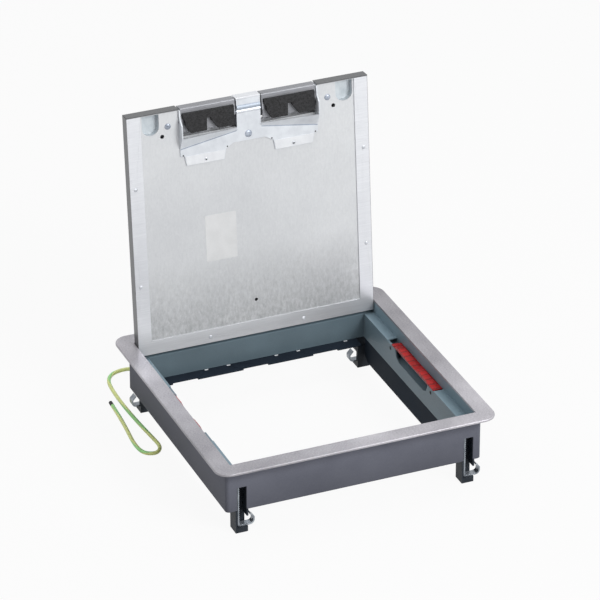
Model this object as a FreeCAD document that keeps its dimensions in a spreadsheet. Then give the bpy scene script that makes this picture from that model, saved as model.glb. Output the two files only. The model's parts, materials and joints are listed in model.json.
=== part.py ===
"""Floor socket box: trim flange, skirt, ledge frame, posts with clamp claws, and a hinged lid.

The row frame has +Z up and its origin on the plane of the four post feet, under the middle of
the box. +Y points to the hinge side. Each sub-part is drawn with the lid closed, and the lid
group is then swung open about its hinge axis. Sizes live in the spreadsheet "sizes".
"""
import FreeCAD, Part
import math
import os
import Sketcher

doc = FreeCAD.newDocument("floor_socket_box")
sheet = doc.addObject("Spreadsheet::Sheet", "sizes")

SIZES = [
    ("box_height", 78, "post feet to the top of the trim flange"),
    ("flange_size", 300, "outer side of the square trim flange"),
    ("flange_band", 18, "width of the flange band round the opening"),
    ("flange_thick", 2.5, "thickness of the flange"),
    ("flange_corner", 15, "corner radius of the flange"),
    ("flange_edge", 1, "rounding of the flange's upper outer edge"),
    ("skirt_inset_side", 12.6, "flange overhang past the skirt, left and right"),
    ("skirt_inset_end", 14.8, "flange overhang past the skirt, front and back"),
    ("skirt_wall", 2, "wall of the skirt"),
    ("skirt_drop", 52.4, "flange top to the skirt's lower edge"),
    ("skirt_corner", 4, "outer corner radius of the skirt"),
    ("frame_wall", 1.2, "sheet of the ledge frame"),
    ("ledge_drop", 14.2, "flange top to the ledge"),
    ("ledge_width", 11.1, "width of the ledge"),
    ("frame_drop", 41.7, "flange top to the lower edge of the ledge frame"),
    ("pocket_back", 60, "inner end of a lock pocket, on its travel side"),
    ("pocket_front", 56, "inner end of a lock pocket, on its closed side"),
    ("window_half", 40, "half length of the window under a lock pocket"),
    ("window_drop", 26.8, "flange top to the window's lower edge"),
    ("window_corner", 10, "radius of the window's lower corners"),
    ("track_wall", 1.2, "sheet of a lock track"),
    ("track_depth", 11.3, "depth of a lock track behind the frame wall"),
    ("shelf_drop", 20.6, "flange top to the shelf that a lock slide runs on"),
    ("shelf_width", 6.7, "width of that shelf"),
    ("grip_length", 51.7, "length of one lock grip"),
    ("grip_width", 7.5, "width of a lock grip's wavy cap"),
    ("grip_inset", 0.3, "cap behind the frame wall's inner face, right side"),
    ("grip_setback", 3, "further inset of the caps on the left side"),
    ("stem_inset", 5.1, "grip stem behind the frame wall's inner face"),
    ("grip_crest", 2.6, "height of a grip's crest above the ledge"),
    ("lock_travel", 9, "travel of a lock slide"),
    ("plate_thick", 1.5, "sheet of the side plates and cross rails"),
    ("plate_drop", 69.8, "flange top to the side plates' lower edge"),
    ("plate_lap", 14, "height that plates and rails reach up behind the frame"),
    ("rail_width", 14, "width of a cross rail's flange"),
    ("tab_reach", 2.6, "reach of a rail's tabs past its flange"),
    ("tab_length", 50.7, "length of a rail tab"),
    ("tab_pitch", 78.4, "pitch of tabs and slot pairs"),
    ("slot_pair", 24.7, "distance between the slots of a pair"),
    ("slot_length", 5, "length of a rail slot"),
    ("slot_width", 2.2, "width of a rail slot"),
    ("post_inset_left", 16.5, "skirt's side face to the middle of the front left post"),
    ("post_inset_right", 13.9, "skirt's side face to the middle of the front right post"),
    ("post_width", 13.5, "width of a post"),
    ("post_foot_height", 25.2, "height of a post's wider lower block"),
    ("post_base", 5.4, "thickness of a post's closed bottom"),
    ("channel_width", 10, "width of a post's channel and of the skirt's slot"),
    ("channel_depth", 8.6, "depth of a post's channel"),
    ("slot_top_drop", 26.2, "flange top to the upper end of the skirt's slots"),
    ("strip_thick", 2, "thickness of a claw's toothed strip"),
    ("claw_sheet", 1.6, "thickness of a claw's foot and hook"),
    ("claw_width", 7.2, "width of a claw"),
    ("claw_reach", 18, "strip to the outside of the hook"),
    ("claw_rise", 12.8, "height of the hook's tip above the foot"),
    ("hook_bend", 5, "outer bend radius of the hook"),
    ("tooth_pitch", 2.4, "pitch of the claw's teeth"),
    ("tooth_depth", 0.8, "depth of the claw's teeth"),
    ("tooth_count", 17, "teeth on a claw"),
    ("rib_count", 11, "ribs in a post's channel"),
    ("lid_gap", 0.5, "gap between lid and opening"),
    ("lid_thick", 11, "thickness of the lid"),
    ("lid_skin", 2, "top sheet of the lid"),
    ("lid_wall", 1.5, "side walls of the lid"),
    ("lid_return", 15, "width of the border folded in under the lid"),
    ("lid_sheet", 1.2, "sheet of the border, the base plate and the bracket"),
    ("lid_nose", 4, "rounding of the lid's upper hinge edge"),
    ("mitre_gap", 0.4, "slit between two mitred borders"),
    ("hinge_inset", 6, "hinge axis from the lid's hinge edge"),
    ("hinge_drop", 5, "hinge axis below the flange top"),
    ("hinge_pin", 1.6, "radius of the lid's hinge pins"),
    ("bush_wall", 0.75, "wall of a hinge bush"),
    ("running_gap", 0.05, "radial clearance of pins and screws"),
    ("slide_gap", 0.1, "clearance of sliding faces"),
    ("lid_open", 95, "opening angle of the lid as stored, in degrees"),
    ("outlet_depth", 29, "depth of the outlet in the lid's top sheet"),
    ("bridge_half", 13.5, "half width of the bridge between the two flaps"),
    ("flap_length", 59.2, "length of a flap"),
    ("flap_gap_inner", 1.1, "gap from a flap to the bridge"),
    ("flap_gap_outer", 1.7, "gap from a flap to the outlet's side"),
    ("flap_front", 0.3, "flap nose behind the lid's free edge"),
    ("flap_nose", 5.3, "depth of a flap's nose"),
    ("flap_depth", 26.7, "depth of a flap's top plate"),
    ("flap_skin", 2, "top plate of a flap"),
    ("flap_axis_inset", 15, "flap axis behind the lid's free edge"),
    ("flap_axis_drop", 9, "flap axis below the flange top"),
    ("flap_pin", 1.25, "radius of the flap pins"),
    ("flap_ear", 1.5, "thickness of a flap's ears"),
    ("foam_depth", 21.8, "depth of a foam block"),
    ("foam_drop", 13.7, "flange top to the foam's lower face"),
    ("foam_seat_drop", 9, "flange top to the flap's inner plate, where the foam sits"),
    ("seat_depth", 27, "rear edge of the flap's inner plate behind the free edge"),
    ("knuckle_radius", 2.6, "radius of the bracket's knuckle"),
    ("ramp_front", 31, "ramp's front edge behind the free edge"),
    ("ramp_drop", 18, "flange top to the ramp's front edge at a cheek"),
    ("bend_outer", 43, "ramp's bend at a cheek, behind the free edge"),
    ("bend_inner", 33.5, "ramp's bend at the middle, behind the free edge"),
    ("base_depth", 52, "bracket's base plate behind the free edge"),
    ("tab_depth", 63, "bracket's riveting tabs behind the free edge"),
    ("cup_half", 9.2, "half width of a finger recess"),
    ("cup_inset", 25.9, "centre of a finger recess from the lid's side"),
    ("cup_depth", 24, "length of a finger recess from the free edge"),
    ("cup_height", 5.8, "depth of a finger recess above the base plate"),
    ("cup_wall", 0.8, "wall of a finger recess"),
    ("lid_screw_depth", 17.2, "side screws of the base plate behind the free edge"),
    ("pivot_screw_depth", 40.1, "bracket's large screw behind the free edge"),
    ("tab_rivet_depth", 59, "rivets of the bracket's tabs behind the free edge"),
    ("rivet_inset", 6.3, "border rivets from the lid's edge"),
    ("rivet_near", 78.8, "first side rivet behind the free edge"),
    ("rivet_far", 186, "second side rivet behind the free edge"),
    ("rivet_head", 2, "head radius of rivets"),
    ("rivet_shank", 1.2, "shank radius of rivets"),
    ("head_rise", 0.9, "height of rivet heads"),
    ("track_screw_drop", 20, "flange top to the lock track screws"),
    ("track_screw_near", 48, "lock track screw from the middle, closed side"),
    ("track_screw_far", 52.2, "lock track screw from the middle, travel side"),
    ("lug_x", 95, "earth terminal left of the middle"),
    ("lug_drop", 20, "flange top to the earth terminal's screw"),
    ("lug_radius", 5, "ring radius of the earth terminal"),
    ("lug_sheet", 1, "sheet of the earth terminal"),
    ("barrel_radius", 3, "radius of the terminal's barrel"),
    ("barrel_length", 12, "length of the terminal's barrel"),
    ("wire_radius", 2, "radius of the earth wire"),
    ("earth_screw_radius", 2, "shank radius of the earth screw"),
]


class Size:
    """A length that carries its value and its spreadsheet formula."""

    def __init__(self, value, text=None):
        self.value = float(value)
        self.text = text or repr(float(value))
        self.linked = text is not None

    def _join(self, other, sign, value):
        other = as_size(other)
        linked = self.linked or other.linked
        return Size(value, f"({self.text} {sign} {other.text})" if linked else None)

    def __add__(self, other):
        return self._join(other, "+", self.value + as_size(other).value)

    def __sub__(self, other):
        return self._join(other, "-", self.value - as_size(other).value)

    def __mul__(self, other):
        return self._join(other, "*", self.value * as_size(other).value)

    def __truediv__(self, other):
        return self._join(other, "/", self.value / as_size(other).value)

    def __neg__(self):
        return Size(-self.value, f"(-1 * {self.text})" if self.linked else None)

    def __radd__(self, other):
        return as_size(other) + self

    def __rsub__(self, other):
        return as_size(other) - self

    def __rmul__(self, other):
        return as_size(other) * self


def as_size(number):
    """Takes plain numbers as sizes of their own."""
    return number if isinstance(number, Size) else Size(number)


def fill_sheet():
    """Writes every driving size to the sheet and returns the sizes by name."""
    named = {}
    for row, (alias, value, note) in enumerate(SIZES, start=1):
        sheet.set(f"A{row}", alias)
        sheet.set(f"B{row}", str(value))
        sheet.set(f"C{row}", note)
        sheet.setAlias(f"B{row}", alias)
        named[alias] = Size(value, f"sizes.{alias}")
    doc.recompute()
    return named


d = fill_sheet()
FLAT = {"XY": "XY_Plane", "XZ": "XZ_Plane", "YZ": "YZ_Plane"}
parts = {}


def bind(item, name, size):
    """Sets one property of a feature and ties it to the sheet."""
    size = as_size(size)
    if size.linked:
        item.setExpression(name, size.text)
    elif name.count(".") == 0:
        setattr(item, name, size.value)
    else:
        item.setExpression(name, size.text)


def new_body(label, group=None):
    """Starts a sub-part, which is exported under its label unless it joins a group."""
    body = doc.addObject("PartDesign::Body", label)
    body.Label = label
    if group is None:
        parts[label] = body
    else:
        group.append(body)
    return body


def sketch_on(body, plane, offset):
    """Opens a sketch parallel to one of the body's own origin planes."""
    sketch = body.newObject("Sketcher::SketchObject", "outline")
    origin = [f for f in body.Origin.OriginFeatures if f.Role == FLAT[plane]][0]
    sketch.AttachmentSupport = [(origin, "")]
    sketch.MapMode = "FlatFace"
    bind(sketch, "AttachmentOffset.Base.z", offset)
    return sketch


def pin_point(sketch, geometry, end, point):
    """Fixes one sketch point at the given sizes from the sketch's origin."""
    for kind, axis, size in (("DistanceX", -2, point[0]), ("DistanceY", -1, point[1])):
        size = as_size(size)
        if not size.linked and size.value == 0:
            sketch.addConstraint(Sketcher.Constraint("PointOnObject", geometry, end, axis))
            continue
        index = sketch.addConstraint(
            Sketcher.Constraint(kind, -1, 1, geometry, end, size.value))
        if size.linked:
            sketch.setExpression(f"Constraints[{index}]", size.text)


def draw_loop(sketch, points):
    """Draws a closed polygon whose corners follow the sheet."""
    spots = [FreeCAD.Vector(as_size(x).value, as_size(y).value, 0) for x, y in points]
    first = sketch.GeometryCount
    for here, there in zip(spots, spots[1:] + spots[:1]):
        sketch.addGeometry(Part.LineSegment(here, there), False)
    count = len(spots)
    for step in range(count):
        after = first + (step + 1) % count
        sketch.addConstraint(Sketcher.Constraint("Coincident", first + step, 2, after, 1))
    for step, point in enumerate(points):
        pin_point(sketch, first + step, 1, point)


def draw_circle(sketch, x, y, radius):
    """Draws a circle whose centre and radius follow the sheet."""
    spot = FreeCAD.Vector(as_size(x).value, as_size(y).value, 0)
    normal = FreeCAD.Vector(0, 0, 1)
    circle = sketch.addGeometry(Part.Circle(spot, normal, as_size(radius).value), False)
    pin_point(sketch, circle, 3, (x, y))
    index = sketch.addConstraint(Sketcher.Constraint("Radius", circle, as_size(radius).value))
    if as_size(radius).linked:
        sketch.setExpression(f"Constraints[{index}]", as_size(radius).text)


def extrude(body, plane, low, high, loops=(), circles=(), cut=False):
    """Pads or cuts an outline between two heights over an origin plane.

    The XZ plane faces -Y, so its offset is counted the other way.
    """
    low, high = as_size(low), as_size(high)
    if plane == "XZ":
        offset = -low if cut else -high
    else:
        offset = high if cut else low
    sketch = sketch_on(body, plane, offset)
    for loop in loops:
        draw_loop(sketch, loop)
    for circle in circles:
        draw_circle(sketch, *circle)
    before = body.Shape.Volume if cut else 0
    feature = body.newObject("PartDesign::Pocket" if cut else "PartDesign::Pad", "extrusion")
    feature.Profile = sketch
    bind(feature, "Length", high - low)
    doc.recompute()
    if cut and body.Shape.Volume >= before - 1e-3:
        raise RuntimeError(f"a cut in {body.Label} removes nothing")
    return feature


def revolve(body, points):
    """Turns an outline, given as radius and height, round the body's Z axis."""
    sketch = sketch_on(body, "XZ", 0)
    draw_loop(sketch, points)
    feature = body.newObject("PartDesign::Revolution", "revolution")
    feature.Profile = sketch
    feature.ReferenceAxis = (sketch, ["V_Axis"])
    feature.Angle = 360
    doc.recompute()
    return feature


def loft(body, low_at, low_loop, high_at, high_loop):
    """Adds a straight loft between two outlines parallel to the YZ plane."""
    lower = sketch_on(body, "YZ", low_at)
    draw_loop(lower, low_loop)
    upper = sketch_on(body, "YZ", high_at)
    draw_loop(upper, high_loop)
    feature = body.newObject("PartDesign::AdditiveLoft", "loft")
    feature.Profile = lower
    feature.Sections = [upper]
    feature.Ruled = True
    doc.recompute()
    return feature


def round_edges(body, radius, wanted):
    """Fillets the edges of the body's tip that the test picks."""
    base = body.Tip
    picked = [f"Edge{n}" for n, edge in enumerate(base.Shape.Edges, start=1) if wanted(edge)]
    if not picked:
        raise RuntimeError(f"no edge to round on {body.Label}")
    feature = body.newObject("PartDesign::Fillet", "rounding")
    feature.Base = (base, picked)
    bind(feature, "Radius", radius)
    doc.recompute()
    return feature


def middle(edge):
    """Middle of an edge's box."""
    return edge.BoundBox.Center


def runs_along(edge, axis):
    """True for a straight edge parallel to X, Y or Z."""
    box = edge.BoundBox
    spans = {"X": box.XLength, "Y": box.YLength, "Z": box.ZLength}
    return spans.pop(axis) > 1e-3 and max(spans.values()) < 1e-3


def near(value, size):
    """True where a coordinate equals a size."""
    return abs(value - as_size(size).value) < 1e-3


def block(x_low, x_high, y_low, y_high):
    """A rectangle as an outline."""
    return [(x_low, y_low), (x_high, y_low), (x_high, y_high), (x_low, y_high)]


def square(half):
    """A square about the origin as an outline."""
    return block(-half, half, -half, half)


def place(item, x=0, y=0, z=0, turn=0, tilt=None):
    """Puts a sub-part in place, turned about Z or tilted about X, tied to the sheet."""
    if tilt is None:
        item.Placement = FreeCAD.Placement(FreeCAD.Vector(), FreeCAD.Rotation(turn, 0, 0))
    else:
        item.Placement = FreeCAD.Placement(
            FreeCAD.Vector(), FreeCAD.Rotation(FreeCAD.Vector(1, 0, 0), tilt))
    for axis, size in (("x", x), ("y", y), ("z", z)):
        bind(item, f"Placement.Base.{axis}", size)


# Places that several sub-parts share.
top = d["box_height"]
opening = d["flange_size"] / 2 - d["flange_band"]
flange_under = top - d["flange_thick"]
skirt_x = d["flange_size"] / 2 - d["skirt_inset_side"]
skirt_y = d["flange_size"] / 2 - d["skirt_inset_end"]
skirt_bottom = top - d["skirt_drop"]
ledge = top - d["ledge_drop"]
frame_outer = opening + d["frame_wall"]
well = opening - d["ledge_width"]
well_outer = well + d["frame_wall"]
frame_bottom = top - d["frame_drop"]
lid_half = opening - d["lid_gap"]
lid_under = top - d["lid_thick"]
lid_inner = lid_half - d["lid_wall"]
base_under = lid_under + d["lid_sheet"]
base_top = base_under + d["lid_sheet"]
skin_under = top - d["lid_skin"]
hinge_y = lid_half - d["hinge_inset"]
hinge_z = top - d["hinge_drop"]
flap_z = top - d["flap_axis_drop"]
track_screw_z = top - d["track_screw_drop"]
lug_z = top - d["lug_drop"]
flap_start = d["bridge_half"] + d["flap_gap_inner"]
flap_end = flap_start + d["flap_length"]
outlet_half = flap_end + d["flap_gap_outer"]
cup_centre = lid_half - d["cup_inset"]
channel = d["channel_width"] / 2


def from_edge(distance):
    """Y of a point at a distance behind the closed lid's free edge."""
    return as_size(distance) - lid_half


flap_y = from_edge(d["flap_axis_inset"])
post_left = skirt_x - d["post_inset_left"]
post_right = skirt_x - d["post_inset_right"]
POSTS = {
    "front_left": (-post_left, 0),
    "front_right": (post_right, 0),
    "back_right": (post_left, 180),
    "back_left": (-post_right, 180),
}


def make_flange():
    """Trim flange: a rounded square plate with a square opening."""
    body = new_body("trim_flange")
    half = d["flange_size"] / 2
    extrude(body, "XY", flange_under, top, [square(half)])
    round_edges(body, d["flange_corner"], lambda e: runs_along(e, "Z"))
    extrude(body, "XY", flange_under, top, [square(opening)], cut=True)
    limit = opening.value + 1
    round_edges(body, d["flange_edge"], lambda e: near(middle(e).z, top)
                and max(abs(middle(e).x), abs(middle(e).y)) > limit)


def make_skirt():
    """Skirt: a square sleeve under the flange, with a slot for each claw."""
    body = new_body("outer_skirt")
    outline = block(-skirt_x, skirt_x, -skirt_y, skirt_y)
    extrude(body, "XY", skirt_bottom, flange_under, [outline])
    round_edges(body, d["skirt_corner"], lambda e: runs_along(e, "Z"))
    wall = d["skirt_wall"]
    inside = block(-skirt_x + wall, skirt_x - wall, -skirt_y + wall, skirt_y - wall)
    extrude(body, "XY", skirt_bottom, flange_under, [inside], cut=True)
    slot_top = top - d["slot_top_drop"]
    for centre, turn in POSTS.values():
        low = skirt_y - wall if turn else -skirt_y
        slot = block(centre - channel, centre + channel, skirt_bottom, slot_top)
        extrude(body, "XZ", low, low + wall, [slot], cut=True)
    hole = (-d["lug_x"], lug_z, d["earth_screw_radius"] + d["running_gap"])
    extrude(body, "XZ", skirt_y - wall, skirt_y, circles=[hole], cut=True)


def make_frame():
    """Ledge frame: upstand, ledge and well wall, with a lock pocket on each side."""
    body = new_body("ledge_frame")
    shelf_under = ledge - d["frame_wall"]
    extrude(body, "XY", shelf_under, flange_under, [square(frame_outer)])
    extrude(body, "XY", ledge, flange_under, [square(opening)], cut=True)
    extrude(body, "XY", frame_bottom, shelf_under, [square(well_outer)])
    extrude(body, "XY", frame_bottom, ledge, [square(well)], cut=True)
    window_bottom = top - d["window_drop"]
    shank = d["rivet_shank"] + d["running_gap"]
    for side in (1, -1):
        inner, outer = (well, opening) if side > 0 else (-opening, -well)
        back, front = d["pocket_back"] * side, -d["pocket_front"] * side
        ends = (front, back) if side > 0 else (back, front)
        extrude(body, "XY", shelf_under, ledge, [block(inner, outer, *ends)], cut=True)
        low, high = (well, well_outer) if side > 0 else (-well_outer, -well)
        half = d["window_half"]
        corner = d["window_corner"]
        arch = [(-half, shelf_under), (-half, window_bottom + corner),
                (corner * 0.3 - half, window_bottom + corner * 0.3),
                (corner - half, window_bottom), (half - corner, window_bottom),
                (half - corner * 0.3, window_bottom + corner * 0.3),
                (half, window_bottom + corner), (half, shelf_under)]
        extrude(body, "YZ", low, high, [arch], cut=True)
        holes = [(d["track_screw_far"] * side, track_screw_z, shank),
                 (-d["track_screw_near"] * side, track_screw_z, shank)]
        extrude(body, "YZ", low, high, circles=holes, cut=True)
        bush = d["hinge_pin"] + d["running_gap"] + d["bush_wall"] + d["running_gap"]
        low, high = (opening, frame_outer) if side > 0 else (-frame_outer, -opening)
        extrude(body, "YZ", low, high, circles=[(hinge_y, hinge_z, bush)], cut=True)


def make_bushes():
    """Plastic bushes in the upstand that carry the lid's hinge pins."""
    for name, side in (("hinge_bush_left", -1), ("hinge_bush_right", 1)):
        body = new_body(name)
        bore = d["hinge_pin"] + d["running_gap"]
        circles = [(hinge_y, hinge_z, bore + d["bush_wall"]), (hinge_y, hinge_z, bore)]
        low, high = (opening, frame_outer) if side > 0 else (-frame_outer, -opening)
        extrude(body, "YZ", low, high, circles=circles)


def make_tracks():
    """Lock tracks: channels behind the windows, each with a shelf for its slide."""
    wall = d["track_wall"]
    inner = well_outer
    outer = inner + d["track_depth"]
    bottom = top - d["window_drop"] - wall * 1.4
    ceiling = ledge - d["frame_wall"]
    shelf = top - d["shelf_drop"]
    front = -d["pocket_front"] - 6
    back = d["pocket_back"] + 6
    for name, turn in (("lock_track_right", 0), ("lock_track_left", 180)):
        body = new_body(name)
        profile = [(inner, bottom), (outer, bottom), (outer, ceiling), (outer - wall, ceiling),
                   (outer - wall, shelf), (outer - wall - d["shelf_width"], shelf),
                   (outer - wall - d["shelf_width"], shelf - wall), (outer - wall, shelf - wall),
                   (outer - wall, bottom + wall), (inner, bottom + wall)]
        extrude(body, "XZ", front, back, [profile])
        for low, high in ((front, -d["window_half"]), (d["window_half"], back)):
            extrude(body, "YZ", inner, inner + wall, [block(low, high, bottom, ceiling)])
        shank = d["rivet_shank"] + d["running_gap"]
        holes = [(d["track_screw_far"], track_screw_z, shank),
                 (-d["track_screw_near"], track_screw_z, shank)]
        extrude(body, "YZ", inner, inner + wall, circles=holes, cut=True)
        place(body, turn=turn)


def make_grips():
    """Lock slides: two wavy grips on each side, each with a stem seated on the track's shelf."""
    rear = well_outer + d["track_depth"] - d["track_wall"] - 0.5
    floor = top - d["shelf_drop"] + d["slide_gap"]
    lip = ledge - d["frame_wall"] + 0.3
    crest = ledge + d["grip_crest"]
    length = d["grip_length"]
    stem = well + d["stem_inset"]
    starts = (-2 - length, as_size(-2))
    sides = (("right", 0, ("front", "back"), d["grip_inset"]),
             ("left", 180, ("back", "front"), d["grip_inset"] + d["grip_setback"]))
    for side, turn, ends, inset in sides:
        inner = well + inset
        for end, start in zip(ends, starts):
            body = new_body(f"lock_grip_{side}_{end}")
            wave = [(as_size(0), lip), (length, lip), (length, ledge - 0.1),
                    (length * 0.9, ledge + 0.2), (length * 0.68, crest),
                    (length * 0.42, crest - 0.3), (length * 0.14, ledge + 0.2),
                    (as_size(0), ledge - 0.2)]
            wave = [(start + along, z) for along, z in wave]
            extrude(body, "YZ", inner, inner + d["grip_width"], [wave])
            foot = block(start + 0.6, start + length - 0.6, floor, lip + 0.6)
            extrude(body, "YZ", stem, rear, [foot])
            low = start.value + 2
            high = start.value + length.value - 2
            round_edges(body, 9, lambda e: runs_along(e, "X") and low < middle(e).y < high
                        and middle(e).z > ledge.value)
            place(body, turn=turn)


def make_side_plates():
    """Side plates: dark sheets that carry on downwards behind the frame wall."""
    low = top - d["plate_drop"]
    high = frame_bottom + d["plate_lap"] * 0.5
    for name, turn in (("side_plate_right", 0), ("side_plate_left", 180)):
        body = new_body(name)
        end = well_outer - 2
        foot = [(-end, high), (-end, low + 6), (8 - end, low), (end - 8, low), (end, low + 6),
                (end, high)]
        extrude(body, "YZ", well_outer, well_outer + d["plate_thick"], [foot])
        place(body, turn=turn)


def make_rails():
    """Cross rails: angle sheets under the well wall, with device tabs and slots."""
    thick = d["plate_thick"]
    half = well_outer - 10
    inner = well_outer + thick - d["rail_width"] - thick
    first_slot = tuple(d["tab_pitch"] * n - 57 for n in (-1, 0, 1, 2))
    for name, turn in (("cross_rail_back", 0), ("cross_rail_front", 180)):
        body = new_body(name)
        leg = [(well_outer, frame_bottom - thick), (well_outer + thick, frame_bottom - thick),
               (well_outer + thick, frame_bottom + d["plate_lap"]),
               (well_outer, frame_bottom + d["plate_lap"]), (well_outer, frame_bottom),
               (inner, frame_bottom), (inner, frame_bottom - thick)]
        extrude(body, "YZ", -half, half, [leg])
        for start in (first_slot[0] - 15, first_slot[1] - 15, first_slot[2] - 15,
                      first_slot[3] - 15):
            reach = start + d["tab_length"]
            if reach.value < 2 - half.value or start.value > half.value - 2:
                continue
            low = start if start.value > -half.value else -half
            high = reach if reach.value < half.value else half
            tab = block(low, high, inner - d["tab_reach"], inner)
            extrude(body, "XY", frame_bottom - thick, frame_bottom, [tab])
        slots = []
        ends = []
        radius = d["slot_width"] / 2
        reach = d["slot_length"] / 2 - radius
        y = well - 1.5
        for start in first_slot:
            for centre in (start, start + d["slot_pair"]):
                if abs(centre.value) < half.value - 5:
                    slots.append(block(centre - reach, centre + reach, y - radius, y + radius))
                    ends += [(centre - reach, y, radius), (centre + reach, y, radius)]
        extrude(body, "XY", frame_bottom - thick, frame_bottom, slots, cut=True)
        extrude(body, "XY", frame_bottom - thick, frame_bottom, circles=ends, cut=True)
        place(body, turn=turn)


def make_posts():
    """Corner posts: channels with ratchet ribs, a closed bottom and an open side for the claw.

    A post is drawn at the front wall about its own middle, and the rear pair is turned round.
    """
    wall = d["skirt_wall"]
    half = d["post_width"] / 2
    face = -skirt_y + wall + d["slide_gap"]
    back = -well_outer - d["slide_gap"]
    ceiling = ledge - d["frame_wall"]
    channel_back = face + d["channel_depth"]
    foot = d["post_foot_height"]
    slot_roof = d["post_base"] + d["claw_sheet"] + skirt_bottom - d["claw_rise"] - 2
    for name, (centre, turn) in POSTS.items():
        body = new_body(f"post_{name}")
        extrude(body, "XY", 0, ceiling, [block(-half, half, face, back)])
        extrude(body, "XY", 0, foot, [block(-half, half, -skirt_y, back + 1.7)])
        trough = block(-channel, channel, -skirt_y, channel_back)
        extrude(body, "XY", d["post_base"], ceiling, [trough], cut=True)
        gate = block(channel, half, -skirt_y, channel_back)
        extrude(body, "XY", d["post_base"], slot_roof, [gate], cut=True)
        rib_low = slot_roof + 2
        pitch = d["tooth_pitch"]
        rib = [(channel_back, rib_low), (channel_back, rib_low + pitch * 0.5),
               (channel_back - 0.8, rib_low + pitch * 0.5)]
        ridge = extrude(body, "YZ", 0, channel, [rib])
        pattern = body.newObject("PartDesign::LinearPattern", "ribs")
        pattern.Originals = [ridge]
        upright = [f for f in body.Origin.OriginFeatures if f.Role == "Z_Axis"][0]
        pattern.Direction = (upright, [""])
        count = d["rib_count"]
        pattern.setExpression("Occurrences", count.text)
        bind(pattern, "Length", pitch * (count - 1))
        body.Tip = pattern
        doc.recompute()
        round_edges(body, 1.5, lambda e: runs_along(e, "Z") and near(middle(e).y, -skirt_y)
                    and near(abs(middle(e).x), half) and middle(e).z < 6)
        place(body, x=centre, turn=turn)


def make_claws():
    """Clamp claws: a toothed strip that bends into a foot and curls up into a hook."""
    sheet_thick = d["claw_sheet"]
    left = -channel + 1.4
    right = left + d["strip_thick"]
    foot = d["post_base"] + d["slide_gap"]
    head = top - d["slot_top_drop"] - 0.2
    reach = left + d["claw_reach"]
    tip = foot + d["claw_rise"]
    front = -skirt_y + d["skirt_wall"] + 0.5
    for name, (centre, turn) in POSTS.items():
        body = new_body(f"claw_{name}")
        curl = [(left, head), (left, foot), (reach, foot), (reach, tip - 4.6),
                (reach - 4.2, tip), (reach - 5.2, tip - 0.9), (reach - sheet_thick, tip - 5.2),
                (reach - sheet_thick, foot + sheet_thick), (right, foot + sheet_thick),
                (right, head)]
        extrude(body, "XZ", front, front + d["claw_width"], [curl])
        pitch = d["tooth_pitch"]
        start = foot + sheet_thick + 3
        notch = [(right, start), (right - d["tooth_depth"], start + pitch * 0.2),
                 (right, start + pitch * 0.9)]
        gullet = extrude(body, "XZ", front, front + d["claw_width"], [notch], cut=True)
        pattern = body.newObject("PartDesign::LinearPattern", "teeth")
        pattern.Originals = [gullet]
        upright = [f for f in body.Origin.OriginFeatures if f.Role == "Z_Axis"][0]
        pattern.Direction = (upright, [""])
        pattern.setExpression("Occurrences", d["tooth_count"].text)
        bind(pattern, "Length", pitch * (d["tooth_count"] - 1))
        body.Tip = pattern
        doc.recompute()
        round_edges(body, d["hook_bend"], lambda e: runs_along(e, "Y")
                    and near(middle(e).x, reach) and near(middle(e).z, foot))
        round_edges(body, d["hook_bend"] - sheet_thick, lambda e: runs_along(e, "Y")
                    and near(middle(e).x, reach - sheet_thick)
                    and near(middle(e).z, foot + sheet_thick))
        round_edges(body, sheet_thick, lambda e: runs_along(e, "Y")
                    and near(middle(e).x, left) and near(middle(e).z, foot))
        place(body, x=centre, turn=turn)


def swing(item):
    """Swings a part of the closed lid open about the hinge axis."""
    angle = d["lid_open"].value
    turn = math.radians(angle)
    item.Placement = FreeCAD.Placement(
        FreeCAD.Vector(), FreeCAD.Rotation(FreeCAD.Vector(1, 0, 0), -angle))
    cosine = Size(math.cos(turn), f"cos({d['lid_open'].text} * 1 deg)")
    sine = Size(math.sin(turn), f"sin({d['lid_open'].text} * 1 deg)")
    item.setExpression("Placement.Rotation.Angle", f"-1 * {d['lid_open'].text} * 1 deg")
    bind(item, "Placement.Base.y", hinge_y - hinge_y * cosine - hinge_z * sine)
    bind(item, "Placement.Base.z", hinge_z + hinge_y * sine - hinge_z * cosine)


def make_lid_shell():
    """Lid shell: a tray with three borders folded in underneath and mitred."""
    body = new_body("lid_shell")
    extrude(body, "XY", lid_under, top, [square(lid_half)])
    round_edges(body, d["lid_nose"], lambda e: runs_along(e, "X")
                and near(middle(e).y, lid_half) and near(middle(e).z, top))
    extrude(body, "XY", base_under, skin_under, [square(lid_inner)], cut=True)
    well_half = lid_half - d["lid_return"]
    mouth = [(-well_half, -lid_inner), (well_half, -lid_inner), (well_half, well_half),
             (-well_half, well_half)]
    extrude(body, "XY", lid_under, base_under, [mouth], cut=True)
    slit = d["mitre_gap"] / 2
    for side in (1, -1):
        corner = [((well_half - 1 - slit) * side, well_half - 1 + slit),
                  ((well_half - 1 + slit) * side, well_half - 1 - slit),
                  ((lid_inner + slit) * side, lid_inner - slit),
                  ((lid_inner - slit) * side, lid_inner + slit)]
        extrude(body, "XY", lid_under, base_under, [corner], cut=True)
        outlet = block(d["bridge_half"] * side, outlet_half * side, -lid_half,
                       from_edge(d["outlet_depth"]))
        extrude(body, "XY", lid_under, top, [outlet], cut=True)
    shank = d["rivet_shank"] + d["running_gap"]
    circles = [(x, y, shank) for x, y in rivet_spots()]
    extrude(body, "XY", lid_under, base_under, circles=circles, cut=True)
    pin = (hinge_y, hinge_z, d["hinge_pin"] + d["running_gap"])
    extrude(body, "YZ", lid_inner, lid_half, circles=[pin], cut=True)
    extrude(body, "YZ", -lid_half, -lid_inner, circles=[pin], cut=True)
    swing(body)


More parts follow.
